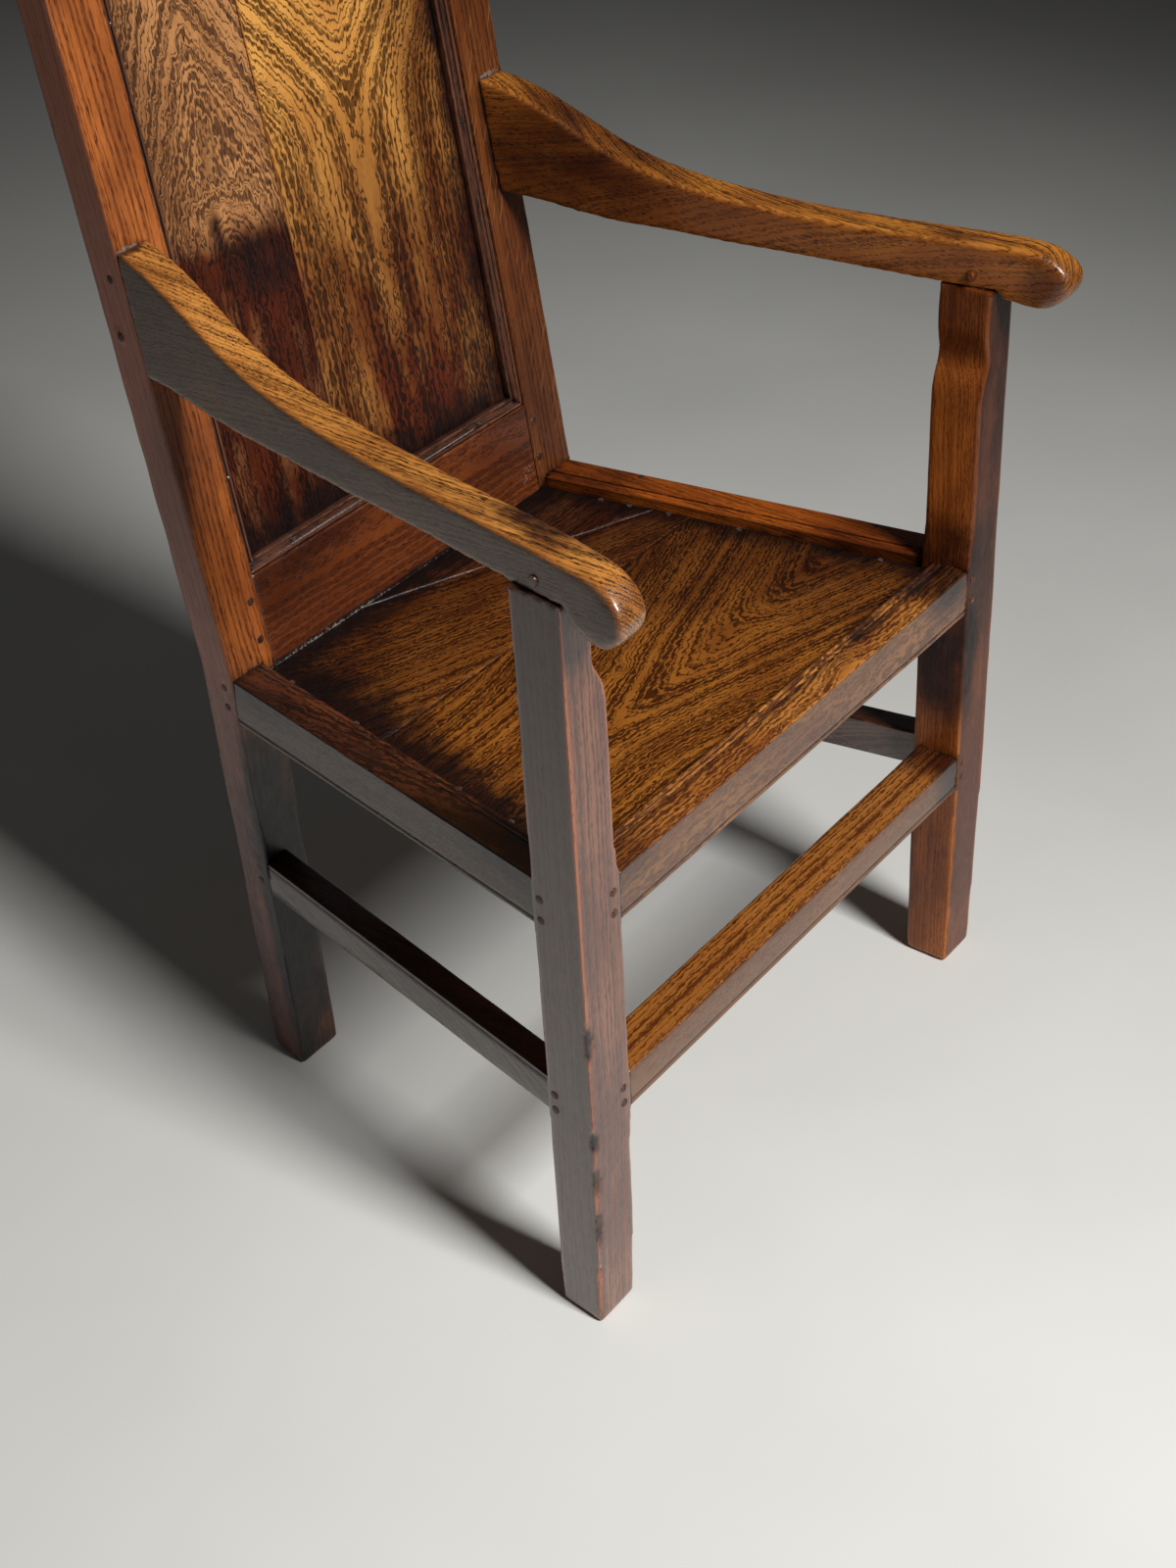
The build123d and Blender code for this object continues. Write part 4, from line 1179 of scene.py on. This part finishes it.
@dataclass
class Studio:
    """A plain pale floor under one soft lamp, with painted falloff of the light far behind and to the
    right.
    """

    floor_reach: float = 40.0
    lamp_at: Vector = Vector((-0.44, -3.45, 3.60))
    lamp_aim: Vector = Vector((-0.26, -0.60, 0.2))
    lamp_width: float = 0.95
    lamp_height: float = 1.5
    lamp_power: float = 37.0
    lamp_spread: float = 60.0          # degrees
    world_light: float = 0.045
    world_colour: str = "#f4f4f2"
    floor_pale: str = "#d9d8d3"
    floor_dull: str = "#d0cfca"
    floor_falloff: str = "#9c9a96"         # painted falloff of the light, behind the chair and off to its right

    def build(self) -> None:
        """Makes the floor, the lamp and the dim surroundings."""
        work = bmesh.new()
        bmesh.ops.create_grid(work, x_segments=8, y_segments=8, size=self.floor_reach)
        mesh = bpy.data.meshes.new("floor")
        work.to_mesh(mesh)
        work.free()
        floor = place_in_scene("floor", mesh)
        floor.data.materials.append(self.paint())
        data = bpy.data.lights.new("lamp", "AREA")
        data.shape = "RECTANGLE"
        data.size = self.lamp_width
        data.size_y = self.lamp_height
        data.energy = self.lamp_power
        data.spread = math.radians(self.lamp_spread)
        lamp = place_in_scene("lamp", data)
        lamp.location = self.lamp_at
        aim = self.lamp_aim - self.lamp_at
        lamp.rotation_euler = aim.to_track_quat("-Z", "Y").to_euler()
        world = bpy.data.worlds.new("surroundings")
        world.use_nodes = True
        background = world.node_tree.nodes["Background"]
        background.inputs["Color"].default_value = linear(self.world_colour)
        background.inputs["Strength"].default_value = self.world_light
        bpy.context.scene.world = world
        bpy.context.scene.view_settings.view_transform = "Standard"

    def paint(self) -> bpy.types.Material:
        """Matt floor paint, rolled on and a little scuffed, which gives a soft pale ground that darkens
        far off as painted falloff of the light.

        Returns:
            The material.
        """
        graph = Graph("matt_floor_paint")
        where = graph.add("TexCoord").outputs["Object"]
        cloud = graph.add("TexNoise", {"Vector": where, "Scale": 2.2, "Detail": 6.0})
        tone = graph.add("MapRange", {"Value": cloud, "From Min": 0.3, "From Max": 0.7})
        colour = graph.add("Mix", {"Factor": tone, "A": self.floor_pale, "B": self.floor_dull})
        place = graph.add("SeparateXYZ", {0: where})
        away = graph.add("MapRange", {"Value": place.outputs["Y"], "From Min": 0.8, "From Max": 2.8})
        beside = {"From Min": 1.4, "From Max": 2.6, "To Max": 0.6}
        aside = graph.add("MapRange", {"Value": place.outputs["X"], **beside})
        away = graph.add("Math", {0: away, 1: aside}, operation="MAXIMUM")
        colour = graph.add("Mix", {"Factor": away, "A": colour, "B": self.floor_falloff})
        shader = graph.add("BsdfPrincipled", {"Base Color": colour, "Roughness": 0.7, "IOR": 1.4})
        return graph.close(shader)


CHIPS = ((302, 20), (203, 12), (161, 17), (109, 22))      # mm up, and half their length
# Painted sheen on the faces that look left, standing for the pale floor's reflection: a dull grey-brown
# film.
LEFT_SHEEN = FaceLight(-X_AXIS, "#62524b", 0.82)
# Thick wax on the left post, handled daily: dark red-brown with a wet shine, and the painted grey sheen on
# its faces that look left.
POST_OAK = OakFinish(
    "waxed_oak_post", pale="#7a4a33", dark="#3a2016", red="#5a2f20", red_share=0.5, worn="#a65f3c",
    contrast=0.7, coat=0.9, face_lights=(LEFT_SHEEN,),
)
# Wax burnished by hands on the arms: bright honey with crisp, small highlights.
ARM_OAK = OakFinish(
    "waxed_oak_arm", pale="#d48e40", dark="#3c1c08", red="#965622", red_share=0.35, worn="#b87434",
    contrast=0.66, pores=1.1, rough=0.36, coat=0.7, polish=0.11,
)
# Thin wax on the stiles and the back's rails: warm brown with a low sheen.
STILE_OAK = OakFinish(
    "waxed_oak_stile", pale="#b8682e", dark="#5a2a12", red="#8a481e", worn="#b0683a", contrast=0.6,
    pores=0.9,
)
# Wax worn through by clothes on the seat: dry brown wood, with its pores left black.
SEAT_OAK = OakFinish(
    "waxed_oak_seat", pale="#9c5f20", dark="#381600", red="#7c4412", worn="#8e6238", contrast=0.92,
    rough=0.42, gloss=0.32, coat=0.08, smoke="#6e4834",
)
# Wax that no hand wears on the panel: golden wood with a strong figure and little shine.
PANEL_OAK = OakFinish(
    "waxed_oak_panel", pale="#e8a652", dark="#4c2b0c", red="#ba7430", red_share=0.3,
    worn="#c08040", contrast=0.82, grime="#5c4236", smoke="#6c4230", gloss=0.35, rough=0.42, coat=0.1,
)
# Wax rubbed off the rails and stretchers by feet and brooms: brown on top, darker in front under a painted
# grey-brown sheen on the faces that look forward.
RAIL_OAK = OakFinish(
    "waxed_oak_rail", pale="#9c6330", dark="#4e240a", red="#783e12", worn="#97602e", coat=0.6,
    face_lights=(FaceLight(-Y_AXIS, "#523a2a", 0.8),),
)
# Wax and dirt that no cloth lifts from a hollow: dull dark brown mouldings.
MOULDING_OAK = OakFinish(
    "waxed_oak_moulding", pale="#6e4430", dark="#321a10", red="#52301f", worn="#7c5440", contrast=0.7,
)
# End grain that drinks wax: matt dark pegs, with painted grey sheen on the ends that look left. Their dust
# is bare wood, for the one that broke.
PEG_OAK = OakFinish(
    "waxed_oak_peg", pale="#5a3a2a", dark="#2c1a12", red="#40261b", red_share=0.5, worn="#5a3a2a",
    gloss=0.25, coat=0.08, dust="#c08a58", face_lights=(replace(LEFT_SHEEN, colour="#4e413a"),),
)


@dataclass
class SideFrame:
    """One side of the chair: the front post, the arm, the seat rail and the stretcher."""

    side: Side
    front: float

    def members(self) -> list[Member]:
        """Chooses the grain, the finish and the wear of the side's members.

        Returns:
            The side's four wooden members.
        """
        way = self.side.value
        left = self.side is Side.LEFT
        post, arm = f"front_post_{self.side}", f"arm_{self.side}"
        rail, stretcher = f"side_seat_rail_{self.side}", f"side_stretcher_{self.side}"
        finish = POST_OAK
        if not left:
            # The right post's front carries painted shade: a dark film on the faces that look forward.
            finish = replace(
                POST_OAK, pale="#b8682a", dark="#6c3210", red="#94501e", worn="#b4692c", contrast=0.4,
                pores=1.2, gloss=0.25, coat=0.2, face_lights=(FaceLight(-Y_AXIS, "#42241c", 0.95),),
            )
        # The left rail carries the painted grey sheen on the faces that look left.
        rail_finish = replace(
            RAIL_OAK, pale="#6e3a1e", dark="#220f08", red="#4a2412", worn="#6e3a1e",
            face_lights=(replace(LEFT_SHEEN, colour="#58402f"),),
        )
        if not left:
            # The right rail's inner face carries painted light: an orange film on the faces that look
            # left.
            rail_finish = replace(
                RAIL_OAK, pale="#aa5816", dark="#5e290a", red="#8c430f", worn="#b8641c", contrast=0.6,
                gloss=0.3, coat=0.1, face_lights=(FaceLight(-X_AXIS, "#8a4c22", 0.4),),
            )
        return [
            Timber(
                post, Grain(origin=centre(post), pith=(70 * way, -55), ring=2.8, seed=11.0 * way),
                finish, Wear(arris=0.4, foot=0.6, chips=self.chips()), fuller=0.0 if left else 7.4,
            ),
            Timber(
                arm,
                Grain(along=Y_AXIS, facing=Z_AXIS, origin=centre(arm), pith=(-100 * way, -95), ring=2.7,
                      sway=4, figure=1.2, figure_length=24, seed=5.0 * way),
                self.arm_finish(),
                Wear(arris=0.5, ripple=0.3), nose=(self.front + 0.008, self.front - 0.03),
            ),
            Board(
                rail,
                Grain(along=Y_AXIS, facing=Z_AXIS, origin=centre(rail), pith=(50, -60), ring=3.2,
                      figure=2.4 if left else 1.2, figure_length=16, jag=2.0 if left else 1.2,
                      seed=3.0 * way),
                rail_finish, run=Y_AXIS,
            ),
            # The side stretchers carry the painted grey sheen on the faces that look left.
            Board(
                stretcher,
                Grain(along=Y_AXIS, facing=-X_AXIS, origin=centre(stretcher), pith=(40, -70)),
                replace(RAIL_OAK, pale="#4a2a1a", dark="#1e0d08", red="#36190e", worn="#5a3a2a",
                        face_lights=(LEFT_SHEEN,)), run=Y_AXIS,
            ),
        ]

    def arm_finish(self) -> OakFinish:
        """Chooses the arm's finish: honey where hands have rubbed it, with painted light on the faces that
        look left, grey sheen on the left arm and brown on the right.

        Returns:
            The finish.
        """
        if self.side is Side.LEFT:
            return replace(ARM_OAK, face_lights=(replace(LEFT_SHEEN, colour="#64544b", share=0.95),))
        return replace(
            ARM_OAK, pale="#d0842c", dark="#331506", red="#844616", coat=0.35,
            face_lights=(FaceLight(-X_AXIS, "#7b3f18", 0.75),),
        )

    def chips(self) -> tuple[Chip, ...]:
        """Lists the splinters lost from the outer front arris of the leg.

        Returns:
            The chips, on the left leg only.
        """
        if self.side is Side.RIGHT:
            return ()
        return tuple(
            Chip((-0.2875, self.front, height * MM), (0.0052, 0.0052, reach * MM), 2.4)
            for height, reach in CHIPS
        )


@dataclass
class BackFrame:
    """The raked back: two stiles, two rails, the mouldings and the two panel boards."""

    front: float
    seat_run: float = 401.0            # mm from the posts' front faces to the stiles'
    sight_low: float = 72.0            # mm up the rake, the panel's visible edges
    sight_high: float = 583.0
    sight_side: float = 172.0          # mm from the middle
    joint: float = -40.0               # mm across, where the two boards meet
    splay: float = 0.0378              # lean of the back legs, as a slope

    def members(self) -> list[Member]:
        """Chooses the grain, the finish and the wear of the back's members.

        Returns:
            The back's ten wooden members.
        """
        origin = Vector((0, self.front + self.seat_run * MM, SEAT_Z))
        made: list[Member] = []
        for side, seed in ((Side.LEFT, 2.0), (Side.RIGHT, 8.0)):
            stile = f"back_stile_{side}"
            # The left stile carries painted light on the faces that look left: a warm pink-brown film.
            finish = replace(STILE_OAK, face_lights=(replace(LEFT_SHEEN, colour="#bf7b66", share=0.9),))
            if side is Side.RIGHT:
                finish = replace(
                    STILE_OAK, pale="#76421e", dark="#3c1e0d", red="#5c2c12", worn="#a87040",
                    gloss=0.3, coat=0.1,
                )
            made.append(
                Timber(
                    stile,
                    Grain(origin=centre(stile), pith=(75 * side.value, -30), ring=3.4, jag=0.7, raked=True,
                          flecks=0.45 if side is Side.RIGHT else 0.0, seed=seed),
                    finish, Wear(arris=0.6, foot=0.8), cell=2.3, splay=self.splay * side.value,
                )
            )
            made.append(
                Board(
                    f"panel_moulding_{side}",
                    Grain(along=UP_RAKE, facing=OUT_OF_BACK, origin=origin, ring=3.4),
                    MOULDING_OAK, run=Z_AXIS, ease=0.6,
                )
            )
        for name, pale in (("back_bottom_rail", "#6e3615"), ("back_crest_rail", "#94582e")):
            made.append(
                Board(
                    name,
                    Grain(along=X_AXIS, facing=OUT_OF_BACK, origin=centre(name), pith=(60, -90), ring=4.0,
                          figure=1.6, jag=1.8, seed=6.0),
                    replace(STILE_OAK, pale=pale, dark="#3a1707", red="#5e2a0e", coat=0.25), ease=0.9,
                    shelter=0.6,
                )
            )
        for name in ("panel_moulding_top", "panel_moulding_bottom"):
            made.append(
                Board(
                    name, Grain(along=X_AXIS, facing=OUT_OF_BACK, origin=origin, ring=3.4),
                    MOULDING_OAK, ease=0.6,
                )
            )
        across = {"along": UP_RAKE, "facing": OUT_OF_BACK, "origin": origin}
        made.append(
            Board(
                "back_panel_right",
                Grain(**across, pith=(-54, -27), ring=5.8, figure=4.6, figure_length=10, sway=6, jag=2.0,
                      arch=0.86, arch_start=384, seed=4.0),
                PANEL_OAK, slot="board_oak", run=Z_AXIS, across=7.0,
            )
        )
        made.append(
            Board(
                "back_panel_left",
                Grain(**across, pith=(98, -20), ring=4.6, figure=4.8, figure_length=10, sway=7, jag=2.0,
                      arch=-0.5, arch_start=340, swells=(Swell(97, 361, 24, 24),), seed=9.0),
                replace(PANEL_OAK, pale="#ce9159", dark="#4a2c1b", red="#925c32"),
                slot="board_oak", run=Z_AXIS, across=7.0,
            )
        )
        return made

    def darken(self, place: Vector) -> SoilAndShade:
        """Dirt round the edges of the panel, and darkening towards the seat.

        Args:
            place: Millimetres across, behind the posts' front faces, and up.

        Returns:
            The dirt there.
        """
        up = (place.z - SEAT_Z / MM) / math.cos(RAKE)
        side = self.sight_side - abs(place.x)
        if place.x < self.joint:
            low_width, side_width = 84.0, 26.0
            smoke = 0.06 + 0.92 * smooth(342, 300, up) + 0.34 * smooth(-100, -160, place.x)
        else:
            low_width, side_width = 62.0, 30 + 34 * smooth(420, 120, up)
            smoke = 0.8 * smooth(440, 225, up) + 0.14 * smooth(240, 110, up)
            smoke = max(smoke, 0.75 * smooth(80, 150, place.x + 0.06 * (self.sight_high - up)))
        low = 1 - (up - self.sight_low) / low_width
        edge = 1 - side / side_width
        top = 1 - (self.sight_high - up) / 30
        lower_quirk = 0.9 * smooth(6, 1, up - self.sight_low) * smooth(60, -60, place.x)
        return SoilAndShade(min(0.85, max(0.0, low, edge, top)), smoke, lower_quirk)


@dataclass
class Seat:
    """The boarded seat with its front rail, and the front stretcher under it."""

    front: float
    board_front: float = 35.0          # mm behind the posts' front faces
    board_back: float = 401.0
    half_front: float = 252.7          # mm from the middle to the side rail at the posts' front
    taper: float = 0.172               # narrowing towards the back, as a slope

    def members(self) -> list[Member]:
        """Chooses the grain and the finish of the seat's members.

        Returns:
            The rail, the stretcher and the three boards.
        """
        seat = {"along": X_AXIS, "facing": Z_AXIS, "origin": Vector((0, self.front, 0.420))}
        return [
            Board(
                "front_seat_rail",
                Grain(**seat, pith=(46, -26), ring=3.4, figure=2.6, sway=6, figure_length=13, jag=2.0,
                      swells=(Swell(16, 70, 10, 20),), seed=1.0),
                replace(RAIL_OAK, pale="#bc7a34", red="#8a4818", red_share=0.4), ease=1.2,
            ),
            Board(
                "front_stretcher",
                Grain(along=X_AXIS, facing=Z_AXIS, origin=centre("front_stretcher"), pith=(120, -30),
                      ring=3.2, figure=1.6, figure_length=16, jag=2.2, seed=7.0),
                replace(RAIL_OAK, pale="#a06428", dark="#4e2205", red="#7e4414", red_share=0.2), ease=2.0,
            ),
            Board(
                "seat_board_front",
                Grain(**seat, pith=(120, -12), ring=3.7, figure=3.2, figure_length=9, sway=6, jag=1.8,
                      arch=0.3, arch_start=-90, swells=(Swell(112, 87, 9, 20), Swell(164, -20, 8, 8)),
                      seed=3.0),
                SEAT_OAK, slot="board_oak", across=7.0, ease=0.6,
            ),
            Board(
                "seat_board_middle",
                Grain(**seat, pith=(400, -40), ring=4.0, figure=3.4, figure_length=10, sway=9, jag=1.8,
                      arch=0.3, arch_start=-900, seed=12.0),
                replace(SEAT_OAK, pale="#8e5620"), slot="board_oak", across=7.0,
            ),
            Board(
                "seat_board_back",
                Grain(**seat, pith=(520, -50), ring=3.8, figure=3.0, figure_length=14, sway=7, jag=2.0,
                      seed=15.0),
                replace(SEAT_OAK, pale="#6c4226"), slot="board_oak", across=7.0,
            ),
        ]

    def darken(self, place: Vector) -> SoilAndShade:
        """The black border of the seat, widest where arms and back keep the cloth away.

        Args:
            place: Millimetres across, behind the posts' front faces, and up.

        Returns:
            The dirt there.
        """
        half = self.half_front - self.taper * place.y
        right = 0.95 - (half - place.x) / 46
        left = 1.15 - (half + place.x) / (56 + 26 * smooth(180, 320, place.y))
        back = 1.1 - (self.board_back - place.y) / 50
        front = 0.8 * smooth(110, 200, abs(place.x)) - (place.y - self.board_front) / 9
        corner = smooth(0.0, 1.25, smooth(20, 200, place.x) + smooth(230, 370, place.y))
        middle = smooth(90, 200, place.y) * smooth(0, 90, place.x)
        smoke = max(0.76 * corner, 0.6 * middle, 0.35 * smooth(150, 330, place.y))
        behind = self.board_back - place.y
        dust = (0.42 + 0.22 * smooth(0, -150, place.x)) * smooth(5.0, 1.0, behind)
        dust = max(dust, 0.5 * smooth(4.0, 1.0, half + place.x) * smooth(120, 160, place.y))
        return SoilAndShade(max(0.0, right, left, back, front), smoke, dust)


@dataclass
class Pegs(Member):
    """Riven oak pegs, cut off a little proud and rounded by three centuries of dusting."""

    slot: str = "peg_oak"
    ease: float = 1.1                  # mm, width of the rounded rim
    rim: float = math.radians(60)      # a rim is at least this sharp

    def build(self) -> bpy.types.Object:
        """Rounds the rims of the pegs, and moves them with the posts that they stand in.

        Returns:
            The piece.
        """
        work = self.solid()
        bmesh.ops.dissolve_limit(work, angle_limit=FLAT, verts=work.verts, edges=work.edges)
        worn = work.verts.layers.float.new("worn")
        rims = [e for e in work.edges if e.is_convex and e.calc_face_angle(0.0) > self.rim]
        made = bmesh.ops.bevel(
            work, geom=rims, offset=self.ease * MM, offset_type="OFFSET", segments=3,
            profile=0.5, affect="EDGES", material=-1, clamp_overlap=True,
        )
        mark_inside(made["faces"], worn)
        bmesh.ops.triangulate(work, faces=[f for f in work.faces if len(f.verts) > 4])
        if self.node != "arm_pegs":
            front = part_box("front_post_right")[0].y
            for vert in work.verts:
                vert.co += squared(vert.co, front)
        return self.finish_mesh(work)


SPOTS = (
    Spot("back_panel_left", (-76, 442, 720), (52, 60, 36), grime=0.62, smoke=0.9),
    Spot("back_panel_left", (-112, 450, 752), (9, 40, 24), grime=0.7, smoke=0.6),
    Spot("back_bottom_rail", (-120, 400, 419), (150, 30, 8), dust=0.62),
    Spot("back_bottom_rail", (60, 400, 419), (120, 30, 7), dust=0.5),
    # A pale patch near the right end of the bottom rail, laid in the dust colour.
    Spot("back_bottom_rail", (160, 404, 440), (26, 30, 18), dust=0.42),
    Spot("back_bottom_rail", (-150, 415, 500), (110, 60, 50), smoke=0.6),
    Spot("back_bottom_rail", (150, 410, 480), (70, 60, 40), smoke=0.4),
    Spot("back_stile_left", (-209, 450, 780), (17, 16, 4), dust=0.62),
    Spot("back_stile_right", (204, 450, 781), (22, 16, 4), dust=0.6),
    Spot("seat_frame_pegs", (256, 0, 393), (12, 12, 9), dust=1.0),
    Spot("arm_left", (-262, 110, 712), (16, 60, 24), grime=0.36),
    Spot("arm_left", (-212, 450, 782), (24, 12, 10), grime=0.9),
    Spot("arm_left", (-257, 44, 708), (12, 50, 12), grime=0.72),
    Spot("arm_left", (-262, -8, 708), (9, 22, 12), grime=0.45),
    Spot("arm_right", (262, 40, 710), (12, 30, 8), grime=0.5),
    Spot("seat_board_front", (-20, 164, 420), (6, 4, 20), grime=0.9),
    Spot("arm_left", (-268, 20, 708), (16, 26, 14), grime=0.1, smoke=0.75),
    Spot("arm_left", (-265, -46, 680), (60, 24, 30), smoke=0.5),
    Spot("arm_right", (265, -46, 680), (60, 30, 40), smoke=0.6),
    Spot("side_seat_rail_left", (-265, 70, 430), (60, 80, 30), grime=0.4, smoke=0.9),
    Spot("side_seat_rail_left", (-250, 370, 430), (60, 60, 30), grime=0.3, smoke=0.8),
    Spot("side_seat_rail_right", (240, 90, 430), (60, 70, 30), smoke=0.6),
    Spot("side_seat_rail_right", (205, 370, 430), (60, 60, 30), grime=0.2, smoke=0.7),
    Spot("front_seat_rail", (215, 20, 430), (46, 60, 30), grime=0.5, smoke=0.9),
    Spot("front_seat_rail", (118, 26, 430), (30, 14, 30), grime=0.55, smoke=0.6),
    Spot("front_stretcher", (236, 20, 240), (40, 60, 60), grime=0.4, smoke=0.9),
    Spot("front_seat_rail", (-225, 20, 430), (40, 60, 30), smoke=0.5),
    Spot("arm_right", (232, 395, 720), (70, 130, 70), grime=0.3, smoke=0.9),
    Spot("arm_right", (232, 200, 620), (70, 260, 60), smoke=0.5),
    # Painted shade on the right front post: at its top under the arm's nose, and down its front face.
    Spot("front_post_right", (240, 20, 690), (60, 60, 120), grime=0.2, smoke=0.6),
    Spot("front_post_right", (270, 0, 560), (60, 8, 260), smoke=0.75),
    Spot("front_post_right", (240, 46, 120), (40, 50, 140), smoke=0.7),
    # Painted shadow on the right leg's inner face under the seat.
    Spot("front_post_right", (238, 20, 345), (40, 46, 90), grime=0.6, smoke=1.0),
    Spot("front_post_right", (240, 20, 440), (40, 50, 40), grime=0.5, smoke=0.7),
    Spot("back_stile_left", (-215, 401, 560), (60, 90, 150), smoke=0.4),
    Spot("back_stile_right", (200, 401, 480), (60, 90, 150), smoke=0.35),
    # Painted shadow of the seat on the back legs' front faces, deepest on the left one.
    Spot("back_stile", (0, 415, 60), (900, 110, 420), grime=0.3, smoke=0.85),
    Spot("back_stile_left", (-215, 398, 150), (90, 26, 330), grime=1.0, smoke=1.0),
    *(
        Spot("front_post_left", (-287, 1, height), (4.5, 4.5, reach), grime=1.0, smoke=0.9)
        for height, reach in CHIPS
    ),
)


def main() -> None:
    """Builds the chair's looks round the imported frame."""
    logging.basicConfig(level=logging.INFO, format="%(name)s: %(message)s")
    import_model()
    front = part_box("front_post_right")[0].y
    Camera().build(front)
    Studio().build()
    back, seat = BackFrame(front), Seat(front)
    members = [*back.members(), *seat.members()]
    for side in Side:
        members += SideFrame(side, front).members()
    for name in PEGS:
        members.append(Pegs(name, Grain(origin=centre(name)), PEG_OAK))
    for member in members:
        piece = member.build()
        log.info("%s: %d faces", piece.name, len(piece.data.polygons))
    ShadeAndPatina(members, front).spread(SPOTS, {"back_panel": back.darken, "seat_board": seat.darken})
    BlackIron(bright=0.9).dress(bpy.data.objects["seat_board_nails"])
    BlackIron().dress(bpy.data.objects["rail_tacks"])
    BlackIron(bright=1.1).dress(bpy.data.objects["moulding_sprigs"])


if __name__ == "__main__":
    main()
